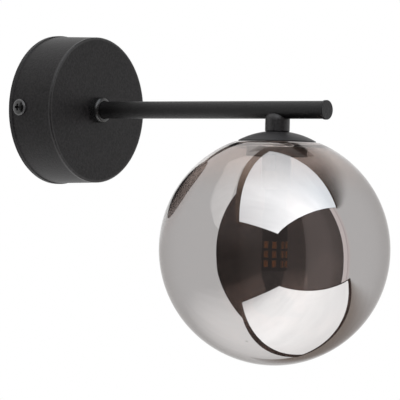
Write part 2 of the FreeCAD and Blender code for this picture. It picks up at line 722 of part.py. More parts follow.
# Arm fixing: a threaded tube through the canopy's front wall, a toothed washer and a nut
def make_arm_fixing():
    inside = canopy_inner_face - nipple_tail + canopy_wall
    turned_on_arm("arm_nipple", [
        (nipple_bore, inside),
        (nipple_radius, inside),
        (nipple_radius, canopy_depth + nipple_grip),
        (nipple_bore, canopy_depth + nipple_grip),
    ])
    disc = cylinder("washer_disc", zero, -(canopy_inner_face - washer_thick), zero, "out",
                    washer_radius, washer_thick)
    teeth = [disc]
    tooth_count = 12
    for index in range(tooth_count):
        tooth = doc.addObject("Part::Box", f"washer_tooth_{index}")
        set_sizes(tooth, {"Length": tooth_reach + tooth_root, "Width": washer_thick,
                          "Height": tooth_width})
        corner = FreeCAD.Vector((washer_radius - tooth_root).value, -canopy_inner_face.value,
                                -tooth_width.value / 2)
        turn = FreeCAD.Placement(
            FreeCAD.Vector(), FreeCAD.Rotation(FreeCAD.Vector(0, 1, 0), 360.0 * index / tooth_count))
        tooth.Placement = turn.multiply(FreeCAD.Placement(corner, FreeCAD.Rotation()))
        teeth.append(tooth)
    star = fuse("washer_star", teeth)
    bore = cylinder("washer_bore", zero, -(canopy_inner_face - washer_thick) + spare, zero, "out",
                    nipple_radius + hole_gap, washer_thick + spare * 2)
    keep("lock_washer", cut("lock_washer", star, [bore]))
    nut_back = canopy_inner_face - washer_thick - nut_thick
    nut = hexagon("arm_nut_block", zero, -nut_back, zero, "out", nut_flats, nut_thick)
    hole = cylinder("arm_nut_hole", zero, -nut_back + spare, zero, "out",
                    nipple_radius + thread_gap, nut_thick + spare * 2)
    keep("arm_lock_nut", cut("arm_lock_nut", nut, [hole]))


# Stem: a turned boss with a round shoulder, saddled onto the tube and tapped from below
def make_stem():
    shoulder_z0 = -(stem_top_drop + stem_shoulder)
    shoulder_centre = stem_radius - stem_shoulder
    bore_radius = nipple_radius + thread_gap
    body = turned_on_stem("stem_boss", [
        (bore_radius, -stem_drop),
        (stem_radius - stem_edge_round, -stem_drop),
        (stem_radius, -stem_drop + stem_edge_round,
         stem_radius - stem_edge_round, -stem_drop + stem_edge_round),
        (stem_radius, shoulder_z0),
        (bore_radius, shoulder_z0 + rise(stem_shoulder, bore_radius - shoulder_centre),
         shoulder_centre, shoulder_z0),
    ])
    tube = cylinder("stem_saddle_tool", zero, -(stem_reach - stem_radius * 2), zero, "out",
                    arm_radius + thread_gap, stem_radius * 4)
    keep("stem_saddle", cut("stem_saddle", body, [tube]))
    del pieces["stem_boss"]
    turned_on_stem("stem_nipple", [
        (nipple_bore, stem_nipple_end),
        (nipple_radius, stem_nipple_end),
        (nipple_radius, -arm_radius - hole_gap),
        (nipple_bore, -arm_radius - hole_gap),
    ])


# Dome: a pressed cap with a flat for the stem and a straight edge at its rim
def make_dome():
    outer_rim_z = rim_z + dome_edge
    inner_rim = dome_rim - dome_wall
    inner_rim_z = dome_centre_z + rise(dome_inner_radius, inner_rim)
    inner_flat = root(dome_inner_radius * dome_inner_radius
                      - (dome_inner_flat_z - dome_centre_z) * (dome_inner_flat_z - dome_centre_z))
    turned_on_stem("holder_dome", [
        (nipple_radius + hole_gap, dome_inner_flat_z),
        (inner_flat, dome_inner_flat_z),
        (inner_rim, inner_rim_z, zero, dome_centre_z, "cw"),
        (inner_rim, rim_z),
        (dome_rim, rim_z),
        (dome_rim, outer_rim_z),
        (stem_radius, -stem_drop, zero, dome_centre_z),
        (nipple_radius + hole_gap, -stem_drop),
    ])


# Holder: a turned cup under the dome whose outside carries the globe's thread
def make_holder():
    turned_on_stem("globe_holder", [
        (nipple_radius + hole_gap, holder_disc_under),
        (holder_radius - holder_wall, holder_disc_under),
        (holder_radius - holder_wall, ring_under_z + holder_short),
        (holder_radius, ring_under_z + holder_short),
        (holder_radius, holder_disc_top),
        (holder_hub_radius, holder_disc_top),
        (holder_hub_radius, dome_inner_flat_z),
        (nipple_radius + hole_gap, dome_inner_flat_z),
    ])


# Globe: blown glass with a pressed seat round its mouth, hidden by the dome
def make_globe():
    inner_corner = rise(globe_inner_radius, seat_under_z - globe_centre_z)
    bottom = globe_centre_z - globe_radius
    inner_bottom = globe_centre_z - globe_inner_radius
    turned_on_stem("globe_glass", [
        (zero, bottom),
        (shoulder_radius, shoulder_z, zero, globe_centre_z),
        (shoulder_radius - shoulder_flat, shoulder_z),
        (seat_outer, shoulder_z - shoulder_fall),
        (seat_outer, seat_z),
        (mouth_radius, seat_z),
        (mouth_radius, seat_under_z),
        (inner_corner, seat_under_z),
        (zero, inner_bottom, zero, globe_centre_z, "cw"),
    ])
    turned_on_stem("globe_ring", [
        (ring_bore, ring_under_z),
        (ring_outer, ring_under_z),
        (ring_outer, seat_z),
        (ring_flange, seat_z),
        (ring_flange, ring_top_z),
        (ring_bore, ring_top_z),
    ])
    turned_on_stem("neck_gasket", [
        (gasket_inner, gasket_z),
        (gasket_outer, gasket_z),
        (gasket_outer, gasket_top_z),
        (gasket_inner, gasket_top_z),
    ])


# Lampholder strap and its nut, hung on the threaded tube inside the holder
def make_socket_bracket():
    leg_outer = socket_half_x + thread_gap + bracket_plate
    plate = box("strap_plate", -leg_outer, -bracket_plate_half, plate_under_z,
                leg_outer * 2, bracket_plate_half * 2, bracket_plate)
    legs = []
    for side, start in (("left", -leg_outer), ("right", leg_outer - bracket_plate)):
        legs.append(box(f"strap_leg_{side}", start, -leg_half, plate_under_z - leg_length,
                        bracket_plate, leg_half * 2, leg_length + bracket_plate))
    holes = [cylinder("strap_hole", zero, zero, plate_under_z - spare, "up",
                      nipple_radius + hole_gap, bracket_plate + spare * 2)]
    screw_z = plate_under_z - leg_length + leg_half
    holes.append(cylinder("strap_screw_hole", -leg_outer - spare, zero, screw_z, "right",
                          clamp_radius + hole_gap, leg_outer * 2 + spare * 2))
    strap = cut("socket_bracket", fuse("strap_sheet", [plate] + legs), holes)
    hang_on_stem(strap, turned=True)
    keep("socket_bracket", strap)

    nut = cut("holder_nut", hexagon("holder_nut_block", zero, zero, holder_nut_under, "up",
                                    nut_flats, holder_nut_thick),
              [cylinder("holder_nut_hole", zero, zero, holder_nut_under - spare, "up",
                        nipple_radius + thread_gap, holder_nut_thick + spare * 2)])
    hang_on_stem(nut, turned=True)
    keep("holder_nut", nut)
    return screw_z, leg_outer


# Lampholder: a ceramic block with a wire well, two pin slots, leaf contacts and two side screws
def make_lampholder():
    screw_z, leg_outer = make_socket_bracket()
    body = new_body("lamp_socket_body")
    sketch = new_sketch(body, "XY_Plane", "plan")
    draw_rounded_plan(sketch, socket_half_x, socket_half_y, socket_round)
    pad_up(body, sketch, socket_height)
    body.Placement.Base = FreeCAD.Vector(0, 0, socket_under_z.value)
    bind(body, "Placement.Base.z", socket_under_z)
    well_x = wire_offset + wire_radius + well_margin
    well_y = wire_radius + well_margin
    tools = [box("wire_well", -well_x, -well_y, socket_top_z - wire_well_depth,
                 well_x * 2, well_y * 2, wire_well_depth + spare)]
    contacts, pins = [], []
    for side, sign in (("left", -1), ("right", 1)):
        middle = pin_pitch / 2 * sign
        tools.append(box(f"pin_slot_{side}", middle - pin_slot_x / 2, -pin_slot_y / 2,
                         socket_under_z - spare, pin_slot_x, pin_slot_y, pin_slot_depth + spare))
        drilling = socket_screw_grip + socket_screw_spare
        tools.append(cylinder(f"socket_screw_hole_{side}",
                              socket_half_x - drilling if sign > 0 else -socket_half_x - spare,
                              zero, screw_z, "right", clamp_radius + thread_gap, drilling + spare))
        outer = pin_slot_x / 2 - contact_gap
        leaf_start = middle + (outer - contact_thick if sign > 0 else -outer)
        contacts.append(box(f"contact_leaf_{side}", leaf_start, -pin_slot_y / 2 + contact_gap,
                            socket_under_z + contact_lift, contact_thick,
                            pin_slot_y - contact_gap * 2, pin_slot_depth - contact_lift))
        leaf_face = outer - contact_thick
        pins.append(pin_loop_solid(f"pin_{side}", middle + (leaf_face - contact_gap - pin_wire) * sign))
    socket = cut("lamp_socket", body, tools)
    hang_on_stem(socket, turned=True)
    keep("lamp_socket", socket)
    leaves = group("socket_contacts", contacts)
    hang_on_stem(leaves, turned=True)
    keep("socket_contacts", leaves)
    loops = group("lamp_pins", pins)
    hang_on_stem(loops, turned=True)
    keep("lamp_pins", loops)

    screws = []
    for side, sign in (("left", -1), ("right", 1)):
        tip = socket_half_x - socket_screw_grip
        joined = leg_outer + socket_screw_head_height / 2
        head_x = leg_outer if sign > 0 else -leg_outer - socket_screw_head_height
        shank_x = tip if sign > 0 else -joined
        screws.append(fuse(f"socket_screw_{side}", [
            cylinder(f"socket_screw_head_{side}", head_x, zero, screw_z, "right",
                     socket_screw_head, socket_screw_head_height),
            cylinder(f"socket_screw_shank_{side}", shank_x, zero, screw_z, "right",
                     clamp_radius, joined - tip),
        ]))
    pair = group("socket_screws", screws)
    hang_on_stem(pair, turned=True)
    keep("socket_screws", pair)


# One lamp pin: a wire bent into a narrow loop
def pin_loop_solid(name, middle):
    legs = []
    loop_z = base_top_z + pin_length - pin_loop
    for side, sign in (("a", -1), ("b", 1)):
        legs.append(cylinder(f"{name}_{side}", middle, pin_loop * sign, base_top_z, "up",
                             pin_wire, pin_length - pin_loop))
    bend = doc.addObject("Part::Torus", f"{name}_bend")
    set_sizes(bend, {"Radius1": pin_loop, "Radius2": pin_wire, "Angle3": 180})
    bend.Placement = FreeCAD.Placement(
        FreeCAD.Vector(middle.value, 0, loop_z.value),
        FreeCAD.Rotation(FreeCAD.Vector(0, 1, 0), FreeCAD.Vector(0, 0, 1), FreeCAD.Vector(1, 0, 0), "XYZ"))
    bind(bend, "Placement.Base.x", middle)
    bind(bend, "Placement.Base.z", loop_z)
    return fuse(name, legs + [bend])


# Lamp: moulded base, square column and light chips on its four faces
def make_lamp():
    base = new_body("lamp_base")
    sketch = new_sketch(base, "XY_Plane", "plan")
    draw_rounded_plan(sketch, base_half_x, base_half_y, base_round)
    pad_up(base, sketch, base_height)
    hang_on_stem(base, turned=True)
    base.Placement.Base = FreeCAD.Vector(0, -stem_reach.value, base_under_z.value)
    bind(base, "Placement.Base.z", base_under_z)
    keep("lamp_base", base)

    column = new_body("lamp_column")
    sketch = new_sketch(column, "XY_Plane", "plan")
    half = column_side / 2
    draw_rounded_plan(sketch, half, half, column_round)
    pad_up(column, sketch, column_length)
    hang_on_stem(column, turned=True)
    column.Placement.Base = FreeCAD.Vector(0, -stem_reach.value, column_end_z.value)
    bind(column, "Placement.Base.z", column_end_z)
    keep("lamp_column", column)

    chips = []
    for row in range(3):
        low = column_end_z + chip_tail + chip_pitch_z * row - chip_height / 2
        for place, offset in (("near", -chip_pitch_x / 2), ("far", chip_pitch_x / 2)):
            start = offset - chip_width / 2
            for face, sign in (("minus", -1), ("plus", 1)):
                out = half if sign > 0 else -half - chip_thick
                chips.append(box(f"chip_x_{face}_{place}_{row}", out, start, low,
                                 chip_thick, chip_width, chip_height))
                chips.append(box(f"chip_y_{face}_{place}_{row}", start, out, low,
                                 chip_width, chip_thick, chip_height))
    chip_set = group("lamp_chips", chips)
    hang_on_stem(chip_set, turned=True)
    keep("lamp_chips", chip_set)


# Terminal block: three moulded barrels on a base, each with a brass insert and two clamp screws
def make_terminals():
    front = sheet_steel + block_base
    bore_y = -(front + insert_radius + insert_floor)
    mould_front = sheet_steel + block_height
    tower_top = mould_front + tower_height
    blocks = [box("block_plate", -block_pitch * 1.5, -front, -block_half_z,
                  block_pitch * 3, block_base, block_half_z * 2)]
    tools, inserts, clamps = [], [], []
    for index in range(3):
        x = block_pitch * (index - 1)
        blocks.append(box(f"block_barrel_{index}", x - block_barrel / 2, -mould_front,
                          -block_half_z, block_barrel, block_height - block_base, block_half_z * 2))
        tools.append(cylinder(f"block_bore_{index}", x, bore_y, -block_half_z - spare, "up",
                              insert_radius + thread_gap, block_half_z * 2 + spare * 2))
        tube = cylinder(f"insert_tube_{index}", x, bore_y, -insert_half, "up", insert_radius,
                        insert_half * 2)
        insert_tools = [cylinder(f"insert_bore_{index}", x, bore_y, -insert_half - spare, "up",
                                 insert_bore, insert_half * 2 + spare * 2)]
        for place, sign in (("low", -1), ("high", 1)):
            z = clamp_offset * sign
            blocks.append(cylinder(f"block_tower_{index}_{place}", x, -mould_front, z,
                                   "out", tower_radius, tower_height))
            tools.append(cylinder(f"block_well_{index}_{place}", x, bore_y, z, "out",
                                  clamp_radius + hole_gap, tower_top + bore_y + spare))
            insert_tools.append(cylinder(f"insert_thread_{index}_{place}", x, bore_y, z, "out",
                                         clamp_radius + thread_gap, insert_radius + spare))
            start = wire_radius + thread_gap
            clamps.append(cylinder(f"clamp_{index}_{place}", x, bore_y - start, z, "out", clamp_radius,
                                   tower_top + bore_y - start - clamp_sink))
        inserts.append(cut(f"insert_{index}", tube, insert_tools))
    fixing_x = block_pitch / 2
    tools.append(cylinder("block_fixing_hole", fixing_x, zero, zero, "out",
                          block_screw_radius + hole_gap, front + spare))
    tools.append(cylinder("block_fixing_well", fixing_x, -front, zero, "out",
                          block_screw_head + hole_gap, block_height))
    keep("terminal_block", cut("terminal_block", fuse("block_mould", blocks), tools))
    keep("terminal_inserts", group("terminal_inserts", inserts))
    keep("terminal_screws", group("terminal_screws", clamps))
    keep("block_screw", fuse("block_screw", [
        cylinder("block_screw_shank", fixing_x, -screw_end_gap, zero, "out", block_screw_radius,
                 front),
        cylinder("block_screw_top", fixing_x, -front, zero, "out", block_screw_head,
                 block_screw_head_height),
    ]))
    return bore_y, tower_top


# Earth point on the bracket: toothed washer, ring terminal and screw
def make_earth():
    washer_y = sheet_steel
    tag_y = washer_y + earth_washer_thick
    head_y = tag_y + tag_thick
    keep("earth_washer", cut("earth_washer", cylinder(
        "earth_washer_disc", earth_reach_x, -washer_y, zero, "out", tag_radius, earth_washer_thick),
        [cylinder("earth_washer_hole", earth_reach_x, -washer_y + spare, zero, "out",
                  earth_radius + hole_gap, earth_washer_thick + spare * 2)]))
    barrel_y = tag_y + tag_barrel + tag_lift
    neck_half = tag_barrel - tag_lift
    barrel_top = -earth_head_radius - tag_neck
    barrel_z = barrel_top - tag_barrel_length
    tag = fuse("earth_tag_blank", [
        cylinder("earth_tag_ring", earth_reach_x, -tag_y, zero, "out", tag_radius, tag_thick),
        box("earth_tag_neck", earth_reach_x - neck_half, -head_y, barrel_top - spare,
            neck_half * 2, tag_thick, tag_neck + spare * 2),
        cylinder("earth_tag_barrel", earth_reach_x, -barrel_y, barrel_z, "up", tag_barrel,
                 tag_barrel_length),
    ])
    keep("earth_tag", cut("earth_tag", tag, [
        cylinder("earth_tag_hole", earth_reach_x, -tag_y + spare, zero, "out",
                 earth_radius + hole_gap, tag_thick + spare * 2),
        cylinder("earth_tag_socket", earth_reach_x, -barrel_y, barrel_z - spare, "up",
                 wire_radius + thread_gap, tag_socket_depth + spare),
    ]))
    keep("earth_screw", fuse("earth_screw", [
        cylinder("earth_screw_shank", earth_reach_x, -screw_end_gap, zero, "out", earth_radius,
                 head_y),
        cylinder("earth_screw_head", earth_reach_x, -head_y, zero, "out", earth_head_radius,
                 earth_head_height),
    ]))
    return barrel_y, barrel_z


# A wire's path: straight runs joined by tangent arcs, each of the given radius
def bent_path(points, bends):
    points = [FreeCAD.Vector(*point) for point in points]
    edges = []
    start = points[0]
    for index in range(1, len(points) - 1):
        corner = points[index]
        back = (points[index - 1] - corner).normalize()
        ahead = (points[index + 1] - corner).normalize()
        half_turn = (math.pi - back.getAngle(ahead)) / 2
        tangent = bends[index - 1] * math.tan(half_turn)
        arc_start = corner + back * tangent
        arc_end = corner + ahead * tangent
        bisector = (back + ahead).normalize()
        reach = bends[index - 1] / math.cos(half_turn)
        arc_middle = corner + bisector * (reach - bends[index - 1])
        edges.append(Part.LineSegment(start, arc_start).toShape())
        edges.append(Part.Arc(arc_start, arc_middle, arc_end).toShape())
        start = arc_end
    edges.append(Part.LineSegment(start, points[-1]).toShape())
    return Part.Wire(edges)


def make_wire(label, points, bends):
    path = bent_path(points, bends)
    first = FreeCAD.Vector(*points[0])
    heading = FreeCAD.Vector(*points[1]) - first
    ring = Part.Wire([Part.makeCircle(wire_radius.value, first, heading)])
    solid = path.makePipeShell([ring], True, False)
    expected = math.pi * wire_radius.value ** 2 * path.Length
    print(label, "length", round(path.Length, 1), "volume ratio", round(solid.Volume / expected, 4))
    feature = doc.addObject("Part::Feature", label)
    feature.Shape = solid
    keep(label, feature)


def make_wires(bore_y, tower_top, barrel_y, barrel_z):
    entry_z = (wire_grip - block_half_z).value
    fall_y = -(tower_top + wire_radius + fall_gap).value
    arm_y = -stem_reach.value
    well_z = (socket_top_z - wire_well_depth + well_floor_gap).value
    loop_z = -(block_half_z + loop_below).value
    entry_y = bore_y.value
    bends = [wire_bend.value, wire_bend.value, loop_bend.value, loop_bend.value]
    for label, sign, pole in (("live_wire", -1, -1), ("neutral_wire", 1, 0)):
        x = wire_offset.value * sign
        pole_x = block_pitch.value * pole
        make_wire(label, [
            (x, arm_y, well_z),
            (x, arm_y, 0),
            (x, fall_y, 0),
            (x, fall_y, loop_z),
            (pole_x, entry_y, loop_z),
            (pole_x, entry_y, entry_z),
        ], bends)
    earth_x = earth_reach_x.value
    make_wire("earth_wire", [
        (block_pitch.value, entry_y, entry_z),
        (block_pitch.value, entry_y, loop_z),
        (earth_x, -barrel_y.value, loop_z),
        (earth_x, -barrel_y.value, (barrel_z + tag_wire_grip).value),
    ], bends[2:])


make_canopy()
make_bracket()
make_side_screws()
make_arm()
make_arm_fixing()
make_stem()
make_dome()
make_holder()
make_globe()
make_lampholder()
make_lamp()
make_wires(*make_terminals(), *make_earth())
doc.recompute()

for feature in doc.Objects:
    if {"Invalid", "Error"} & set(feature.State):
        raise RuntimeError(f"{feature.Name} did not build: {feature.State}")
for label, feature in pieces.items():
    shape = feature.Shape
    if shape.isNull() or not shape.isValid() or not shape.Solids:
        raise RuntimeError(f"{label} has no valid solid")
    shape.exportStep(f"parts/{label}.step")
    print(label, len(shape.Solids), "solids", round(shape.Volume, 1), "mm3")
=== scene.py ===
import math

import bmesh
import bpy
from mathutils import Matrix, Vector


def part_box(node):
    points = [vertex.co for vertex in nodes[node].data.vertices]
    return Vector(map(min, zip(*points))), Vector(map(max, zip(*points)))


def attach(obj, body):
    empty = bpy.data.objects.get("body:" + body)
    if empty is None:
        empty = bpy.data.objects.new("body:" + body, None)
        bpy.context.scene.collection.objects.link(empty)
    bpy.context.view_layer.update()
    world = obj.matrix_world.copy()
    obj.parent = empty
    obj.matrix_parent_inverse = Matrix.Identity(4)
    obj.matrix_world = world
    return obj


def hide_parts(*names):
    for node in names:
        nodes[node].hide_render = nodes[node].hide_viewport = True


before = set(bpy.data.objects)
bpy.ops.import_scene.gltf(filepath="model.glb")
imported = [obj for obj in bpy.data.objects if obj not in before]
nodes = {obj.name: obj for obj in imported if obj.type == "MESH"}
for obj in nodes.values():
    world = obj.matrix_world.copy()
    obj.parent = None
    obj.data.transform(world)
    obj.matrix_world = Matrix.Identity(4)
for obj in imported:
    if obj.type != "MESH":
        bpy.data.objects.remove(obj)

scene = bpy.context.scene
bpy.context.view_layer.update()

# Octaves of a noise, and the length below which a radius or step counts as none
plainGrain, softGrain, fineGrain, drawnGrain = 1.0, 2.0, 3.0, 4.0
tiny = 1e-6
upright = Vector((0, 0, 1))


# One shader socket that can stand in a sum; any other node comes from its node method
class Wire:
    def __init__(self, tree, socket):
        self.tree = tree
        self.socket = socket

    def node(self, kind, settings, sockets, out=0):
        made = self.tree.nodes.new(kind)
        for name, value in settings.items():
            if name == "stops":
                self.stops(made.color_ramp, value)
            else:
                setattr(made, name, value)
        for name, value in sockets.items():
            if isinstance(value, Wire):
                self.tree.links.new(value.socket, made.inputs[name])
            else:
                made.inputs[name].default_value = value
        return Wire(self.tree, made.outputs[out])

    def stops(self, ramp, stops):
        while len(ramp.elements) < len(stops):
            ramp.elements.new(0.5)
        for element, (place, shade) in zip(ramp.elements, stops):
            element.position = place
            element.color = (shade, shade, shade, 1)

    def maths(self, operation, first, second=0.0):
        return self.node("ShaderNodeMath", {"operation": operation}, {0: first, 1: second})

    def __add__(self, other):
        return self.maths("ADD", self, other)

    def __radd__(self, other):
        return self.maths("ADD", other, self)

    def __sub__(self, other):
        return self.maths("SUBTRACT", self, other)

    def __rsub__(self, other):
        return self.maths("SUBTRACT", other, self)

    def __mul__(self, other):
        return self.maths("MULTIPLY", self, other)

    def __rmul__(self, other):
        return self.maths("MULTIPLY", other, self)

    # Steps that several finishes share: where a point is, one of its coordinates, a noise, a value
    # that goes from first to last while this one goes from low to high, a colour mix and a bump
    def where(self):
        return self.node("ShaderNodeTexCoord", {}, {}, "Object")

    def along(self, axis):
        return self.node("ShaderNodeSeparateXYZ", {}, {0: self}, axis)

    def noise(self, size, detail=softGrain, place=None):
        return self.node("ShaderNodeTexNoise", {}, {"Vector": place or self.where(), "Scale": 1 / size,
                                                    "Detail": detail})

    def spanned(self, low, high, first=0.0, last=1.0, way="SMOOTHSTEP"):
        return self.node("ShaderNodeMapRange", {"interpolation_type": way},
                         {"Value": self, "From Min": low, "From Max": high,
                          "To Min": first, "To Max": last})

    def blend(self, mask, first, second):
        return self.node("ShaderNodeMix", {"data_type": "RGBA"},
                         {"Factor": mask, "A": (*first, 1), "B": (*second, 1)}, "Result")

    def bump(self, height, depth):
        return self.node("ShaderNodeBump", {}, {"Height": height, "Distance": depth, "Strength": 1.0})


def newFinish(name):
    material = bpy.data.materials.new(name)
    material.use_nodes = True
    tree = material.node_tree
    surface = tree.nodes["Principled BSDF"]
    return material, surface, Wire(tree, surface.outputs[0])


def setLook(surface, look):
    for name, value in look.items():
        if isinstance(value, Wire):
            value.tree.links.new(value.socket, surface.inputs[name])
        elif isinstance(value, tuple):
            surface.inputs[name].default_value = (*value, 1)
        else:
            surface.inputs[name].default_value = value


# Sprayed finishes: a coat whose skin has a fine grain and faintly uneven sheen
def sprayed(name, coat):
    material, surface, wire = newFinish(name)
    grain = wire.noise(coat["grain"], fineGrain)
    cloud = wire.noise(coat["cloud"])
    fleck = grain.spanned(speckle["from"], speckle["upTo"], way="LINEAR")
    tone = fleck * speckle["share"] + cloud * (1 - speckle["share"])
    setLook(surface, {
        "Base Color": wire.blend(tone, coat["dark"], coat["light"]),
        "Roughness": cloud * coat["sheenSpread"] + grain * coat["grainSpread"] + coat["roughness"],
        "Normal": wire.bump(grain, coat["depth"]),
        "Specular IOR Level": coat["specular"],
    })
    if "rubbed" in coat:
        setLook(surface, {"Coat Weight": rubbedEdge(wire, coat["rubbed"]),
                          "Coat Roughness": coat["rubbed"]["roughness"]})
    return material


# The canopy's front edge, rubbed glossy by handling: near a circle about the Y axis
def rubbedEdge(wire, rubbed):
    place = wire.where()
    flat = wire.node("ShaderNodeVectorMath", {"operation": "MULTIPLY"}, {0: place, 1: (1, 0, 1)})
    out = wire.node("ShaderNodeVectorMath", {"operation": "LENGTH"}, {0: flat}, "Value")
    inward, behind = rubbed["radius"] - out, place.along("Y") - rubbed["front"]
    away = wire.maths("SQRT", inward * inward + behind * behind)
    return away.spanned(rubbed["core"], rubbed["reach"], rubbed["gloss"], 0.0)


speckle = {"from": 0.3, "upTo": 0.7, "share": 0.7}
cupLow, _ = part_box("canopy_cup")
canopyCoat = {"grain": 0.0014, "cloud": 0.02, "depth": 0.00014, "dark": (0.0004, 0.0003, 0.0003),
              "light": (0.018, 0.016, 0.017), "roughness": 0.36, "sheenSpread": 0.06,
              "grainSpread": 0.12, "specular": 0.21,
              "rubbed": {"radius": 0.0494, "front": cupLow.y, "core": 0.0008, "reach": 0.0024,
                         "gloss": 0.45, "roughness": 0.32}}
armCoat = {"grain": 0.0012, "cloud": 0.02, "depth": 0.00026, "dark": (0.0008, 0.0006, 0.0007),
           "light": (0.007, 0.0062, 0.0065), "roughness": 0.34, "sheenSpread": 0.06,
           "grainSpread": 0.14, "specular": 0.34}
domeCoat = {"grain": 0.0011, "cloud": 0.02, "depth": 0.0002, "dark": (0.001, 0.0008, 0.0009),
            "light": (0.016, 0.0142, 0.0152), "roughness": 0.38, "sheenSpread": 0.06,
            "grainSpread": 0.16, "specular": 0.55}
ringCoat = {"grain": 0.0009, "cloud": 0.02, "depth": 0.00004, "dark": (0.005, 0.005, 0.0052),
            "light": (0.009, 0.0088, 0.009), "roughness": 0.22, "sheenSpread": 0.05,
            "grainSpread": 0.07, "specular": 0.6}
screwLow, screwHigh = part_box("canopy_side_screws")
screwCoat = {"grain": 0.0008, "depth": 0.00002, "dark": (0.0005, 0.0005, 0.0005),
             "light": (0.09, 0.088, 0.09), "roughness": 0.16, "grainSpread": 0.1, "specular": 0.6,
             "reach": -(screwLow.y + screwHigh.y) / 2, "radius": (screwHigh.z - screwLow.z) / 2,
             # Grey levels by distance from the axis: a mid centre, a painted shade band, and a painted
             # highlight on the rim
             "rings": [(0.0, 0.1), (0.55, 0.12), (0.66, 0.0), (0.8, 0.0), (0.88, 0.9), (1.0, 0.7)],
             "crown": screwHigh.x, "recess": 0.0024,
             # Painted shade in the cross recess, fading in between these depths below the crown, with a
             # duller surface there
             "recessShadeFrom": 0.0005, "recessShadeUpTo": 0.0007, "recessShadeDull": 0.5}


# Side screws: glossy blackened steel, with a painted highlight on the rim, a painted shade band inside
# it, and painted shade in the cross recess, which is also duller
def screwFinish(name, coat):
    material, surface, wire = newFinish(name)
    place = wire.where()
    grain = wire.noise(coat["grain"], fineGrain)
    ahead, up = place.along("Y") + coat["reach"], place.along("Z")
    depth = coat["crown"] - wire.maths("ABSOLUTE", place.along("X"))
    away = wire.maths("SQRT", ahead * ahead + up * up)
    near = wire.maths("LESS_THAN", away, coat["recess"])
    # Painted highlight on the rim and painted shade band inside it, by distance from the axis
    ring = wire.node("ShaderNodeValToRGB", {"stops": coat["rings"]},
                     {"Fac": away * (1 / coat["radius"])})
    # Painted shade deep in the cross recess; the same mask makes it duller
    recessShade = near * depth.spanned(coat["recessShadeFrom"], coat["recessShadeUpTo"], way="LINEAR")
    setLook(surface, {
        "Base Color": wire.blend((1 - recessShade) * ring, coat["dark"], coat["light"]),
        "Roughness": grain * coat["grainSpread"] + recessShade * coat["recessShadeDull"] + coat["roughness"],
        "Normal": wire.bump(grain, coat["depth"]),
        "Specular IOR Level": coat["specular"],
    })
    return material


# Bare metals: colour, a drawn or rolled grain and small stains
def metal(name, stock):
    material, surface, wire = newFinish(name)
    stretched = wire.node("ShaderNodeVectorMath", {"operation": "MULTIPLY"},
                          {0: wire.where(), 1: stock["stretch"]})
    drawn = wire.noise(stock["grain"], drawnGrain, stretched)
    stain = wire.noise(stock["stain"], fineGrain)
    tone = stain * stainShare + drawn * (1 - stainShare)
    setLook(surface, {
        "Base Color": wire.blend(tone, stock["dull"], stock["bright"]),
        "Metallic": 1.0,
        "Roughness": drawn * stock["spread"] + stain * stock["spread"] + stock["roughness"],
        "Normal": wire.bump(drawn, stock["depth"]),
    })
    return material


stainShare = 0.7
zincStock = {"grain": 0.0006, "stretch": (1, 0.2, 1), "stain": 0.006, "dull": (0.5, 0.5, 0.48),
             "bright": (0.68, 0.69, 0.7), "roughness": 0.22, "spread": 0.14, "depth": 0.00003}
brownedStock = {"grain": 0.0006, "stretch": (1, 1, 0.3), "stain": 0.006, "dull": (0.14, 0.13, 0.125),
                "bright": (0.28, 0.26, 0.25), "roughness": 0.26, "spread": 0.14, "depth": 0.00003}
brassStock = {"grain": 0.0005, "stretch": (1, 1, 0.2), "stain": 0.004, "dull": (0.6, 0.42, 0.17),
              "bright": (0.85, 0.66, 0.32), "roughness": 0.2, "spread": 0.12, "depth": 0.00002}
tinStock = {"grain": 0.0005, "stretch": (1, 1, 0.3), "stain": 0.003, "dull": (0.52, 0.5, 0.47),
            "bright": (0.76, 0.75, 0.73), "roughness": 0.2, "spread": 0.12, "depth": 0.00002}


# Moulded and fired stock: plastics, ceramic, silicone and wire insulation
def moulded(name, stock):
    material, surface, wire = newFinish(name)
    skin = wire.noise(stock["grain"], fineGrain)
    flow = wire.noise(stock["flow"])
    tone = skin * skinShare + flow * (1 - skinShare)
    setLook(surface, {
        "Base Color": wire.blend(tone, stock["dark"], stock["light"]),
        "Roughness": skin * stock["spread"] + stock["roughness"],
        "Normal": wire.bump(skin, stock["depth"]),
        "Subsurface Weight": stock.get("soft", 0.0),
        "Subsurface Scale": softReach,
    })
    return material


skinShare = 0.5
softReach = 0.001
blockStock = {"grain": 0.0006, "flow": 0.01, "dark": (0.72, 0.7, 0.63), "light": (0.83, 0.81, 0.75),
              "roughness": 0.38, "spread": 0.15, "depth": 0.00003, "soft": 0.2}
ceramicStock = {"grain": 0.0004, "flow": 0.008, "dark": (0.76, 0.73, 0.67), "light": (0.87, 0.85, 0.8),
                "roughness": 0.5, "spread": 0.2, "depth": 0.00005}
lampBaseStock = {"grain": 0.0007, "flow": 0.01, "dark": (0.03, 0.03, 0.032),
                 "light": (0.06, 0.06, 0.064), "roughness": 0.35, "spread": 0.15, "depth": 0.00003}
siliconeStock = {"grain": 0.0008, "flow": 0.01, "dark": (0.42, 0.42, 0.41),
                 "light": (0.58, 0.58, 0.56), "roughness": 0.55, "spread": 0.15, "depth": 0.00004,
                 "soft": 0.1}
brownWireStock = {"grain": 0.0006, "flow": 0.02, "dark": (0.16, 0.075, 0.035),
                  "light": (0.25, 0.12, 0.06), "roughness": 0.35, "spread": 0.12, "depth": 0.00002}
blueWireStock = {"grain": 0.0006, "flow": 0.02, "dark": (0.03, 0.13, 0.38), "light": (0.06, 0.2, 0.5),
                 "roughness": 0.35, "spread": 0.12, "depth": 0.00002}


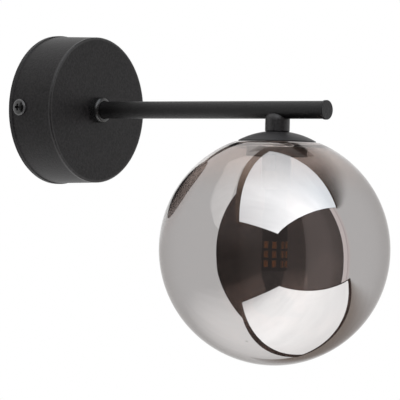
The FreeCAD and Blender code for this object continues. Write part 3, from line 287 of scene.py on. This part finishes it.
# Earth wire: green insulation with a yellow stripe along it
def earthInsulation(name, stripe):
    material, surface, wire = newFinish(name)
    ripple = wire.node("ShaderNodeTexWave", {"bands_direction": "DIAGONAL"},
                       {"Vector": wire.where(), "Scale": stripe["bands"],
                        "Distortion": stripe["wander"]})
    edge = wire.node("ShaderNodeValToRGB", {"stops": stripe["stops"]}, {"Fac": ripple})
    skin = wire.noise(stripe["grain"])
    setLook(surface, {
        "Base Color": wire.blend(edge, stripe["green"], stripe["yellow"]),
        "Roughness": skin * stripe["spread"] + stripe["roughness"],
        "Normal": wire.bump(skin, stripe["depth"]),
    })
    return material


earthStripe = {"bands": 90, "wander": 0.6, "stops": [(0.45, 0.0), (0.55, 1.0)], "grain": 0.0006,
               "green": (0.05, 0.3, 0.06), "yellow": (0.75, 0.62, 0.05), "roughness": 0.35,
               "spread": 0.12, "depth": 0.00002}


# Lamp column: black board with a faint weave and a solder sheen
def lampBoard(name, board):
    material, surface, wire = newFinish(name)
    weave = wire.node("ShaderNodeTexVoronoi", {"distance": "CHEBYCHEV"}, {"Scale": 1 / board["weave"]})
    film = wire.noise(board["film"])
    setLook(surface, {
        "Base Color": wire.blend(film, board["dark"], board["light"]),
        "Roughness": film * board["spread"] + board["roughness"],
        "Normal": wire.bump(weave, board["depth"]),
    })
    return material


boardStock = {"weave": 0.0007, "film": 0.004, "dark": (0.012, 0.012, 0.014),
              "light": (0.025, 0.025, 0.028), "roughness": 0.3, "spread": 0.2, "depth": 0.00002}


# The ball that the globe is cut from: its radius, where it is cut and its middle
def globeBall():
    low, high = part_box("globe_glass")
    radius = (high.x - low.x) / 2
    return radius, high.z, Vector(((low.x + high.x) / 2, (low.y + high.y) / 2, low.z + radius))


globeRadius, globeTop, globeMiddle = globeBall()


# Smoked glass: a thin metal film on the outside mirrors most of the light; it thins towards the neck
# and on one side
def smokedFilm(name, film):
    material, surface, wire = newFinish(name)
    place = wire.where()
    drift = wire.noise(film["cloud"]) * film["drift"]
    neck = (place.along("Z") + drift).spanned(film["from"], film["upTo"])
    spoke = wire.node("ShaderNodeVectorMath", {"operation": "SUBTRACT"}, {0: place, 1: globeMiddle})
    outward = wire.node("ShaderNodeVectorMath", {"operation": "NORMALIZE"}, {0: spoke})
    facing = wire.node("ShaderNodeVectorMath", {"operation": "DOT_PRODUCT"},
                       {0: outward, 1: film["thinWay"]}, "Value")
    thin = facing.spanned(film["thinFrom"], film["thinUpTo"])
    setLook(surface, {
        "Base Color": wire.blend(neck, film["tint"], film["neckTint"]),
        "Metallic": film["mirror"] - neck * film["thinning"] - thin * film["sideThinning"],
        "Specular Tint": film["rimTint"],
        "Transmission Weight": 1.0,
        "IOR": glassIndex,
        "Roughness": film["roughness"],
        "Normal": wire.bump(wire.noise(film["ripple"], plainGrain), film["depth"]),
    })
    return material


def clearGlass(name, glass):
    material, surface, wire = newFinish(name)
    setLook(surface, {
        "Base Color": glass["tint"],
        "Transmission Weight": 1.0,
        "IOR": glassIndex,
        "Roughness": glass["roughness"],
    })
    return material


glassIndex = 1.5
outerFilm = {"tint": (0.46, 0.447, 0.443), "neckTint": (0.58, 0.54, 0.52),
             "rimTint": (0.6, 0.58, 0.57), "mirror": 0.84, "thinning": 0.48, "cloud": 0.03,
             "drift": 0.008, "from": -0.052, "upTo": -0.024, "thinWay": (-0.539, 0.688, 0.486),
             "thinFrom": 0.84, "thinUpTo": 0.94, "sideThinning": 0.54, "roughness": 0.012,
             "ripple": 0.03, "depth": 0.00002}
innerGlass = {"tint": (0.9, 0.76, 0.7), "roughness": 0.0}

finishes = {
    "canopy": sprayed("canopy_coat", canopyCoat),
    "arm": sprayed("arm_coat", armCoat),
    "dome": sprayed("dome_coat", domeCoat),
    "ring": sprayed("satin_black", ringCoat),
    "screw": screwFinish("black_screw", screwCoat),
    "zinc": metal("zinc_plate", zincStock),
    "browned": metal("browned_steel", brownedStock),
    "brass": metal("brass", brassStock),
    "tin": metal("tinned_copper", tinStock),
    "block": moulded("natural_polyamide", blockStock),
    "ceramic": moulded("lampholder_ceramic", ceramicStock),
    "lampBase": moulded("lamp_base_plastic", lampBaseStock),
    "silicone": moulded("silicone", siliconeStock),
    "brownWire": moulded("brown_insulation", brownWireStock),
    "blueWire": moulded("blue_insulation", blueWireStock),
    "earthWire": earthInsulation("striped_insulation", earthStripe),
    "board": lampBoard("lamp_board", boardStock),
    "film": smokedFilm("smoked_film", outerFilm),
    "clear": clearGlass("inner_glass", innerGlass),
}
print("finishes made:", len(finishes))

nodeFinish = {
    "canopy": ["canopy_cup"],
    "arm": ["arm_tube", "arm_end_cap"],
    "dome": ["stem_saddle", "holder_dome"],
    "browned": ["globe_holder", "globe_ring"],
    "ring": ["arm_collar"],
    "screw": ["canopy_side_screws"],
    "zinc": ["wall_bracket", "arm_nipple", "lock_washer", "arm_lock_nut", "stem_nipple",
             "socket_bracket", "holder_nut", "socket_screws", "terminal_screws", "block_screw",
             "earth_washer"],
    "brass": ["socket_contacts", "terminal_inserts", "earth_screw"],
    "tin": ["lamp_pins", "earth_tag"],
    "block": ["terminal_block"],
    "ceramic": ["lamp_socket"],
    "lampBase": ["lamp_base"],
    "silicone": ["neck_gasket"],
    "brownWire": ["live_wire"],
    "blueWire": ["neutral_wire"],
    "earthWire": ["earth_wire"],
    "board": ["lamp_column"],
}
for finish, members in nodeFinish.items():
    for member in members:
        mesh = nodes[member].data
        mesh.materials.clear()
        mesh.materials.append(finishes[finish])
print("nodes finished:", sum(len(members) for members in nodeFinish.values()))


def addPiece(name, mesh, materials, body):
    piece = bpy.data.objects.new(name, mesh)
    scene.collection.objects.link(piece)
    for material in materials:
        mesh.materials.append(material)
    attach(piece, body)
    return piece


# Turns an outline of (radius, height) points about an upright axis into a closed mesh
def turned(name, outline, axis, sides, slots):
    mesh = bpy.data.meshes.new(name)
    form = bmesh.new()
    rings = []
    for radius, height in outline:
        if radius < tiny:
            rings.append([form.verts.new((axis.x, axis.y, height))])
            continue
        ring = []
        for step in range(sides):
            angle = 2 * math.pi * step / sides
            ring.append(form.verts.new((axis.x + radius * math.cos(angle),
                                        axis.y + radius * math.sin(angle), height)))
        rings.append(ring)
    for lower, upper, slot in zip(rings, rings[1:], slots):
        for step in range(sides):
            after = (step + 1) % sides
            corners = [lower[step % len(lower)], lower[after % len(lower)],
                       upper[after % len(upper)], upper[step % len(upper)]]
            face = form.faces.new(list(dict.fromkeys(corners)))
            face.material_index = slot
            face.smooth = True
    bmesh.ops.recalc_face_normals(form, faces=form.faces)
    form.to_mesh(mesh)
    form.free()
    return mesh


# Globe: the blown shell with its fire-rounded seat and mouth
globe = {"wall": 0.0018, "sides": 160, "rings": 72, "flat": 0.0011, "slope": 0.0005, "fall": 0.0007,
         "seatDrop": 0.0017, "mouth": 0.020}


# From the lowest point of a ball up to a level that cuts it
def ballArc(radius, cut):
    centre = globeMiddle.z
    whole = math.atan2(math.sqrt(radius ** 2 - (cut - centre) ** 2), centre - cut)
    turns = [whole * step / globe["rings"] for step in range(globe["rings"] + 1)]
    return [(radius * math.sin(turn), centre - radius * math.cos(turn)) for turn in turns]


def globeOutline():
    seat = globeTop - globe["seatDrop"]
    under = seat - globe["wall"]
    outside = ballArc(globeRadius, globeTop)
    inside = ballArc(globeRadius - globe["wall"], under)
    flatEdge = outside[-1][0] - globe["flat"]
    seatEdge = flatEdge - globe["slope"]
    neck = [(flatEdge, globeTop), (seatEdge, globeTop - globe["fall"]), (seatEdge, seat),
            (globe["mouth"], seat), (globe["mouth"], under)]
    outline = outside + neck + inside[::-1]
    return outline, [0 if index < len(outside) else 1 for index in range(len(outline) - 1)]


outline, slots = globeOutline()
globeMesh = turned("smoked_globe", outline, globeMiddle, globe["sides"], slots)
globeShell = addPiece("smoked_globe", globeMesh, [finishes["film"], finishes["clear"]], "globe")
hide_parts("globe_glass")
print("globe made:", len(globeShell.data.polygons), "faces")


# Light chips: a pale frame round a domed phosphor pad, in the places of the CAD chips
chip = {"frame": 0.00035, "pad": 0.0007, "sink": 0.0001, "crown": 0.000028, "padRow": 3}


def chipFinish(name, look):
    material, surface, wire = newFinish(name)
    dust = wire.noise(look["speckle"], fineGrain)
    setLook(surface, {
        "Base Color": wire.blend(dust, look["dark"], look["light"]),
        "Roughness": dust * look["spread"] + look["roughness"],
        "Normal": wire.bump(dust, look["depth"]),
        "Emission Color": look["lit"],
        "Emission Strength": look["glow"],
    })
    return material


# The glow stands for the daylight that reaches the chips through the glass
phosphorLook = {"speckle": 0.0003, "dark": (0.72, 0.22, 0.02), "light": (0.95, 0.42, 0.06),
                "roughness": 0.3, "spread": 0.2, "depth": 0.00002, "lit": (1.0, 0.28, 0.03),
                "glow": 0.27}
frameLook = {"speckle": 0.0004, "dark": (0.5, 0.3, 0.12), "light": (0.62, 0.4, 0.18),
             "roughness": 0.4, "spread": 0.2, "depth": 0.00002, "lit": (1.0, 0.4, 0.1), "glow": 0.08}


# The corners of each separate block in a CAD node
def islandsOf(node):
    form = bmesh.new()
    form.from_mesh(nodes[node].data)
    bmesh.ops.remove_doubles(form, verts=form.verts, dist=tiny)
    islands, seen = [], set()
    for first in form.verts:
        if first in seen:
            continue
        island, todo = [], [first]
        seen.add(first)
        while todo:
            vert = todo.pop()
            island.append(vert.co.copy())
            for edge in vert.link_edges:
                other = edge.other_vert(vert)
                if other not in seen:
                    seen.add(other)
                    todo.append(other)
        islands.append(island)
    form.free()
    return islands


# One chip over the eight corners of its block; its face looks away from the column
def addChip(form, corners, columnMiddle):
    middle = sum(corners, Vector()) / len(corners)
    spans = [corner - corners[0] for corner in corners[1:]]
    flats = sorted((span for span in spans if abs(span.z) < tiny), key=lambda span: span.length)
    thick, wide = flats[0], flats[1]
    out = thick.normalized()
    if out.dot(middle - columnMiddle) < 0:
        out = -out
    across = wide.normalized()
    halfWide, halfHigh = wide.length / 2, max(abs(span.z) for span in spans) / 2
    face = middle + out * thick.length / 2
    back = middle - out * thick.length / 2

    def ring(centre, inset):
        sideways, upward = across * (halfWide - inset), upright * (halfHigh - inset)
        return [form.verts.new(centre + sideways * x + upward * z)
                for x, z in ((-1, -1), (1, -1), (1, 1), (-1, 1))]

    rows = [ring(back, 0), ring(face, 0), ring(face, chip["frame"]),
            ring(face - out * chip["sink"], chip["frame"]),
            ring(face - out * chip["crown"], chip["pad"])]
    for index, (lower, upper) in enumerate(zip(rows, rows[1:])):
        for step, after in enumerate((1, 2, 3, 0)):
            made = form.faces.new([lower[step], lower[after], upper[after], upper[step]])
            made.material_index = 1 if index >= chip["padRow"] else 0
    form.faces.new(rows[-1]).material_index = 1
    form.faces.new(rows[0][::-1])


def makeChips():
    low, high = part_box("lamp_column")
    form = bmesh.new()
    islands = islandsOf("lamp_chips")
    for corners in islands:
        height = sum(corner.z for corner in corners) / len(corners)
        addChip(form, corners, Vector(((low.x + high.x) / 2, (low.y + high.y) / 2, height)))
    bmesh.ops.recalc_face_normals(form, faces=form.faces)
    mesh = bpy.data.meshes.new("light_chips")
    form.to_mesh(mesh)
    form.free()
    return mesh, len(islands)


chipMesh, chipCount = makeChips()
chipLooks = [chipFinish("chip_frame", frameLook), chipFinish("chip_phosphor", phosphorLook)]
chips = addPiece("light_chips", chipMesh, chipLooks, "lamp")
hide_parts("lamp_chips")
print("chips made:", chipCount)


# Smooth shading on the turned CAD pieces, with sharp edges kept
sharpFrom = 28
for node in nodes.values():
    node.data.shade_smooth()
    node.data.set_sharp_from_angle(angle=math.radians(sharpFrom))


# Studio: white surroundings, a dark room behind the camera, two soft boxes and a pale floor
studio = {"floor": -0.55, "floorRadius": 3.2, "fill": 0.36, "paleness": 0.5, "paleFrom": 0.6,
          "paleUpTo": 3.1, "sides": 96, "cloud": 0.05, "dark": (0.84, 0.84, 0.84),
          "light": (0.87, 0.87, 0.87), "roughness": 0.8}


# What the camera, a mirror and clear glass see of the surroundings, each as 0 or 1
def seenBy(wire):
    return [wire.node("ShaderNodeLightPath", {}, {}, name)
            for name in ("Is Camera Ray", "Is Glossy Ray", "Is Transmission Ray")]


def makeWorld():
    world = bpy.data.worlds.new("studio_white")
    scene.world = world
    world.use_nodes = True
    tree = world.node_tree
    backdrop = tree.nodes["Background"]
    wire = Wire(tree, backdrop.outputs[0])
    camera, mirror, glass = seenBy(wire)
    shown = wire.maths("MAXIMUM", wire.maths("MAXIMUM", camera, mirror), glass)
    strength = shown * (1 - studio["fill"]) + studio["fill"]
    tree.links.new(strength.socket, backdrop.inputs["Strength"])
    backdrop.inputs["Color"].default_value = (1, 1, 1, 1)


makeWorld()

eye = {"azimuth": -51.9, "roll": 1.35, "target": (0, -0.12565, -0.0595), "distance": 1.9,
       "lens": 258.8, "sensor": 36, "clip": 50}


# Right, up and back of the rolled camera, and its right before the roll
def eyeAxes():
    angle = math.radians(eye["azimuth"])
    back = Vector((math.sin(angle), -math.cos(angle), 0))
    side = upright.cross(back)
    turn = math.radians(eye["roll"])
    right = side * math.cos(turn) + upright * math.sin(turn)
    return right, back.cross(right), back, side


def makeCamera():
    right, up, back, _ = eyeAxes()
    camera = bpy.data.objects.new("camera", bpy.data.cameras.new("camera"))
    scene.collection.objects.link(camera)
    place = Vector(eye["target"]) + back * eye["distance"]
    camera.matrix_world = Matrix.Translation(place) @ Matrix((right, up, back)).transposed().to_4x4()
    camera.data.sensor_width = eye["sensor"]
    camera.data.lens = eye["lens"]
    camera.data.clip_end = eye["clip"]
    scene.camera = camera


makeCamera()


# The floor pales into the surroundings far out, and isn't there for an eye beneath it
def makeFloor():
    form = bmesh.new()
    bmesh.ops.create_circle(form, cap_ends=True, segments=studio["sides"], radius=studio["floorRadius"])
    mesh = bpy.data.meshes.new("floor")
    form.to_mesh(mesh)
    form.free()
    floor = bpy.data.objects.new("floor", mesh)
    scene.collection.objects.link(floor)
    floor.location = (globeMiddle.x, globeMiddle.y, studio["floor"])
    material, surface, wire = newFinish("pale_floor")
    setLook(surface, {
        "Base Color": wire.blend(wire.noise(studio["cloud"]), studio["dark"], studio["light"]),
        "Roughness": studio["roughness"],
    })
    camera, mirror, glass = seenBy(wire)
    away = wire.node("ShaderNodeVectorMath", {"operation": "LENGTH"}, {0: wire.where()}, "Value")
    rim = away.spanned(studio["paleFrom"], studio["paleUpTo"], studio["paleness"], 1.0)
    mirrored = wire.maths("MAXIMUM", camera * rim, wire.maths("MAXIMUM", mirror, glass))
    white = wire.node("ShaderNodeEmission", {}, {"Color": (1, 1, 1, 1), "Strength": 1.0})
    shown = wire.node("ShaderNodeMixShader", {}, {0: mirrored, 1: wire, 2: white})
    beneath = wire.node("ShaderNodeNewGeometry", {}, {}, "Backfacing")
    clear = wire.node("ShaderNodeBsdfTransparent", {}, {})
    shown = wire.node("ShaderNodeMixShader", {}, {0: beneath, 1: shown, 2: clear})
    wire.tree.links.new(shown.socket, wire.tree.nodes["Material Output"].inputs["Surface"])
    mesh.materials.append(material)


makeFloor()


# Flags: sheets that only mirrors see; each point of a sheet carries its own glow
def makeGlow():
    material = bpy.data.materials.new("flag_glow")
    material.use_nodes = True
    tree = material.node_tree
    tree.nodes.remove(tree.nodes["Principled BSDF"])
    wire = Wire(tree, None)
    colour = wire.node("ShaderNodeVertexColor", {"layer_name": "glow"}, {}, "Color")
    spread = wire.node("ShaderNodeVectorMath", {"operation": "MULTIPLY"},
                       {0: wire.node("ShaderNodeTexCoord", {}, {}, "Generated"), 1: crease["across"]})
    folds = wire.noise(crease["size"], fineGrain, spread)
    creased = wire.node("ShaderNodeVectorMath", {"operation": "SCALE"},
                        {0: colour, "Scale": folds * crease["depth"] + (1 - crease["depth"] / 2)})
    shown = wire.node("ShaderNodeEmission", {}, {"Color": creased, "Strength": 1.0})
    tree.links.new(shown.socket, tree.nodes["Material Output"].inputs["Surface"])
    return material


crease = {"across": (26, 3, 1), "size": 1.0, "depth": 0.16}
glowFinish = makeGlow()


def addFlag(name, rows, stand):
    form = bmesh.new()
    layer = form.verts.layers.float_color.new("glow")
    lines = []
    for row in rows:
        line = []
        for place, shade in row:
            vert = form.verts.new(place)
            vert[layer] = (*shade, 1)
            line.append(vert)
        lines.append(line)
    for lower, upper in zip(lines, lines[1:]):
        for step in range(len(lower) - 1):
            form.faces.new([lower[step], lower[step + 1], upper[step + 1], upper[step]])
    mesh = bpy.data.meshes.new(name)
    form.to_mesh(mesh)
    form.free()
    mesh.materials.append(glowFinish)
    flag = bpy.data.objects.new(name, mesh)
    scene.collection.objects.link(flag)
    flag.matrix_world = stand
    flag.visible_camera = False
    flag.visible_diffuse = False
    flag.visible_shadow = False
    flag.visible_transmission = False
    flag.visible_volume_scatter = False


# The value that a list of (place, value) stops gives at one place
def level(stops, place):
    for (low, first), (high, last) in zip(stops, stops[1:]):
        if place <= high:
            return first + (last - first) * max(place - low, 0) / (high - low)
    return stops[-1][1]


def eased(part):
    part = min(max(part, 0), 1)
    return part * part * (3 - 2 * part)


def mixed(first, second, part):
    return tuple(a + (b - a) * part for a, b in zip(first, second))


sheet = {"steps": 8, "rings": (0.002, 0.2, 0.4, 0.6, 0.8, 0.9, 1.0), "tailRows": 24, "tailColumns": 12}


# The edge of a cloth from corner to corner, each side bowed outward by a share of its length
def bowedEdge(corners, bows):
    edge = []
    for start, stop, bow in zip(corners, corners[1:] + corners[:1], bows):
        side = Vector((stop[0] - start[0], stop[1] - start[1], 0))
        outward = Vector((-side.y, side.x, 0))
        for step in range(sheet["steps"]):
            part = step / sheet["steps"]
            edge.append(Vector((*start, 0)) + side * part + outward * (4 * bow * part * (1 - part)))
    return edge + edge[:1]


# Soft box: the lamp gives its light, and a cloth with a dark lip is what mirrors see of it
def addSoftBox(name, box):
    lamp = bpy.data.lights.new(name, "AREA")
    lamp.shape = "RECTANGLE"
    lamp.size, lamp.size_y = box["size"]
    lamp.energy = box["glow"] * math.pi * box["size"][0] * box["size"][1]
    lamp.color = box["colour"]
    held = bpy.data.objects.new(name, lamp)
    scene.collection.objects.link(held)
    tilt = Matrix.Rotation(box["yaw"], 4, "Z") @ Matrix.Rotation(box["roll"], 4, "Y")
    tilt = tilt @ Matrix.Rotation(box["pitch"], 4, "X")
    if box["up"]:
        tilt = tilt @ Matrix.Rotation(math.pi, 4, "X")
    stand = Matrix.Translation(box["place"]) @ tilt
    held.matrix_world = stand
    held.visible_camera = False
    held.visible_glossy = False
    edge = bowedEdge(box["corners"], box["bows"])
    cloth = [[(point * scale, clothShade(box, point * scale)) for point in edge]
             for scale in sheet["rings"]]
    addFlag(name + "_cloth", cloth, stand)
    inner = [(point, lipShade(box, point)) for point in edge]
    outer = [(Vector((point.x * level(box["lipX"], point.y),
                      point.y * level(box["lipY"], point.y), 0)), lipShade(box, point))
             for point in edge]
    addFlag(name + "_lip", [inner, outer], stand)
    addFlag(name + "_tail", tailRows(box), stand)


# A cloth's light: its tone along x, a lean along y, and a tint that changes towards the far end
def clothShade(box, point):
    glow = level(box["tones"], point.x) * (1 + level(box["lean"], point.x) * (box["leanY"] - point.y))
    far = eased((point.x - box["tintUpTo"]) / (box["farTintFrom"] - box["tintUpTo"]))
    return tuple(tone * glow for tone in mixed(box["tint"], box["farTint"], far))


# The lip is dark, and browner along part of its upper side
def lipShade(box, point):
    part = level(box["brown"], point.x) if point.y > box["brownY"] else 0
    return mixed(box["lipDark"], box["lipBrown"], part)


# Beyond the far end of a box a dusky ceiling or floor pales away from it
def tailRows(box):
    rows = []
    low, high = box["ends"][0][0], box["ends"][-1][0]
    parts = [column / sheet["tailColumns"] for column in range(sheet["tailColumns"] + 1)]
    for step in range(sheet["tailRows"] + 1):
        y = low + (high - low) * step / sheet["tailRows"]
        start, width, dark = level(box["tailX"], y), level(box["widths"], y), level(box["ends"], y)
        rows.append([(Vector((start + width * part, y, box["tailLift"])),
                      mixed((1, 1, 1), box["dusk"], (1 - eased(part)) * dark)) for part in parts])
    return rows


topBox = {"place": (-0.999, -0.878, 0.9), "size": (2.96, 1.738), "yaw": 0.123, "roll": -0.071,
          "pitch": 0.015, "up": False, "glow": 1.6, "colour": (0.97, 0.985, 1.0),
          "corners": [(1.44, 0.86), (1.465, -0.93), (-1.447, -1.043), (-0.866, 0.845)],
          "bows": [-0.024, -0.075, 0.0, -0.005],
          "tones": [(-1.45, 1.86), (-0.5, 1.94), (0.0, 2.1), (0.4, 2.4), (1.0, 1.96), (1.45, 1.76)],
          "lean": [(0.9, 0.25), (1.25, 0.0)], "leanY": 0.12,
          "tint": (0.965, 0.987, 1.012), "farTint": (0.95, 1.02, 1.085), "tintUpTo": 0.5,
          "farTintFrom": 1.3,
          "lipX": [(0.2, 1.04), (0.55, 1.09)], "lipY": [(-0.1, 1.03), (0.1, 1.15)],
          "lipDark": (0.1, 0.075, 0.065), "lipBrown": (0.32, 0.24, 0.18), "brownY": 0.8,
          "brown": [(0.3, 0.1), (0.9, 1.0), (1.02, 1.0), (1.08, 0.1), (1.5, 0.0)],
          "dusk": (0.06, 0.05, 0.045), "tailX": [(-0.5, 1.46), (0, 1.4), (0.6, 1.44)], "tailLift": 0.006,
          "widths": [(-1.0, 0.3), (-0.3, 0.85), (0.2, 1.3), (0.85, 1.4), (1.15, 0.6)],
          "ends": [(-1.05, 0.0), (-0.9, 0.86), (-0.3, 0.88), (0.1, 0.98), (0.9, 1.0), (1.15, 0.3)]}
lowBox = {"place": (-0.168, -0.299, -0.36), "size": (0.568, 0.319), "yaw": 0.059, "roll": -0.37,
          "pitch": -0.482, "up": True, "glow": 1.7, "colour": (0.99, 0.995, 1.0),
          "corners": [(-0.275, -0.168), (-0.106, 0.159), (0.291, 0.162), (0.312, -0.133)],
          "bows": [0.056, -0.026, -0.012, 0.008],
          "tones": [(-0.28, 1.1), (-0.23, 1.15), (-0.066, 1.9), (0.0, 2.05), (0.14, 2.25), (0.2, 2.0),
                    (0.31, 1.85)],
          "lean": [(0, 0), (1, 0)], "leanY": 0,
          "tint": (0.99, 0.995, 1.0), "farTint": (0.99, 0.995, 1.0), "tintUpTo": -0.2, "farTintFrom": 0.2,
          "lipX": [(0, 1.045), (1, 1.045)], "lipY": [(-0.05, 1.2), (0.05, 1.04)],
          "lipDark": (0.07, 0.05, 0.045), "lipBrown": (0.07, 0.05, 0.045), "brownY": 0.2,
          "brown": [(0, 0), (1, 0)],
          "dusk": (0.45, 0.39, 0.35), "tailX": [(-0.13, 0.314), (0.1, 0.294)], "tailLift": 0.002,
          "widths": [(-0.33, 0.55), (0.165, 0.01)], "ends": [(-0.33, 0.0), (-0.2, 1.0), (0.17, 1.0)]}
addSoftBox("top_soft_box", topBox)
addSoftBox("low_soft_box", lowBox)


# Sheets round the globe, laid out by turn about the upright axis and rise, both in degrees
def roundPlace(turn, rise, reach):
    _, _, back, side = eyeAxes()
    turn, rise = math.radians(turn), math.radians(rise)
    away = back * math.cos(turn) + side * math.sin(turn)
    return (away * math.cos(rise) + upright * math.sin(rise)) * reach


# Dark room behind the camera: a curved wall and the floor before it, black to the left, with a
# pale door frame at its right end
room = {"radius": 3.1, "low": -72, "high": 60, "rows": 44, "stride": 4, "lift": 0.01,
        "tint": (1.0, 0.86, 0.83), "frameTint": (1.1, 1.0, 0.99),
        "walls": [(-60.2, 0.02), (-38, 0.02), (-34, 0.035), (-16, 0.055), (0, 0.06), (28.7, 0.07),
                  (29.0, 0.15), (35, 0.185), (55, 0.185), (60, 0.15), (69.4, 0.13)],
        "frame": [(0.05, 1.06), (4.6, 1.06), (5.0, 0.72), (5.6, 0.72), (6.0, 0.96), (8.0, 0.97)],
        "leftLean": 0.12, "leanBelow": -20, "rightLean": 0.13,
        "glimmer": 0.045, "glimmerFrom": -5, "glimmerSpan": 25, "glimmerTurn": -30}


def makeRoom():
    drop = globeMiddle.z - studio["floor"] - room["lift"]
    first, last = room["walls"][0][0], room["walls"][-1][0]
    turns = []
    for (start, _), (stop, _) in zip(room["walls"], room["walls"][1:]):
        parts = max(1, math.ceil((stop - start) / room["stride"]))
        turns += [start + (stop - start) * part / parts for part in range(parts)]
    rows, frameRows = [], []
    for step in range(room["rows"] + 1):
        rise = room["low"] + (room["high"] - room["low"]) * step / room["rows"]
        steep = math.sin(math.radians(rise))
        reach = room["radius"] if steep >= 0 else min(room["radius"], drop / -steep)
        leftLean = room["leftLean"] * max(0, room["leanBelow"] - rise)
        rightLean = -room["rightLean"] * rise
        glimmer = room["glimmer"] * eased((rise - room["glimmerFrom"]) / room["glimmerSpan"])
        row = []
        for turn in turns + [last]:
            lean = rightLean * turn / last if turn > 0 else leftLean * turn / first
            glow = level(room["walls"], turn) + glimmer * eased(turn / room["glimmerTurn"])
            row.append((roundPlace(turn + lean, rise, reach),
                        tuple(tone * glow for tone in room["tint"])))
        rows.append(row)
        frameRows.append([(roundPlace(last + turn + rightLean, rise, reach),
                           tuple(tone * glow for tone in room["frameTint"]))
                          for turn, glow in room["frame"]])
    addFlag("dark_room", rows, Matrix.Translation(globeMiddle))
    addFlag("door_frame", frameRows, Matrix.Translation(globeMiddle))


makeRoom()

# Brighter wall to the left of the room, and a lit patch of floor before it
brightWall = {"reach": 3.3, "glow": 1.38, "parts": (0, 0.04, 0.08, 0.14, 0.5, 1),
              "fade": [(0, 0), (0.14, 0.75), (1, 1)],
              "outer": [(-68, 21), (-85, 33), (-99, 44), (-112, 51), (-134, 51)],
              "inner": [(-58, 15), (-59, 41), (-74, 58), (-106, 66), (-150, 66)]}
brightFloor = {"place": (0.0, -0.03), "reach": 0.8, "glow": 1.5, "lift": 0.002, "rings": 12,
               "hole": 0.01, "spokes": 36}


def makeBrightWall():
    rows = []
    for part in brightWall["parts"]:
        glow = 1 + (brightWall["glow"] - 1) * level(brightWall["fade"], part)
        rows.append([(roundPlace(*mixed(outer, inner, part), brightWall["reach"]), (glow, glow, glow))
                     for outer, inner in zip(brightWall["outer"], brightWall["inner"])])
    addFlag("bright_wall", rows, Matrix.Translation(globeMiddle))


makeBrightWall()


def makeBrightFloor():
    middle = Vector((*brightFloor["place"], studio["floor"] + brightFloor["lift"]))
    turns = [2 * math.pi * spoke / brightFloor["spokes"] for spoke in range(brightFloor["spokes"] + 1)]
    rows = []
    for step in range(brightFloor["rings"] + 1):
        part = step / brightFloor["rings"]
        glow = 1 + (brightFloor["glow"] - 1) * (1 - eased(part))
        reach = brightFloor["reach"] * max(part, brightFloor["hole"])
        rows.append([(Vector((math.cos(turn), math.sin(turn), 0)) * reach, (glow, glow, glow))
                     for turn in turns])
    addFlag("bright_floor", rows, Matrix.Translation(middle))


makeBrightFloor()
scene.view_settings.view_transform = "Standard"
print("studio made")
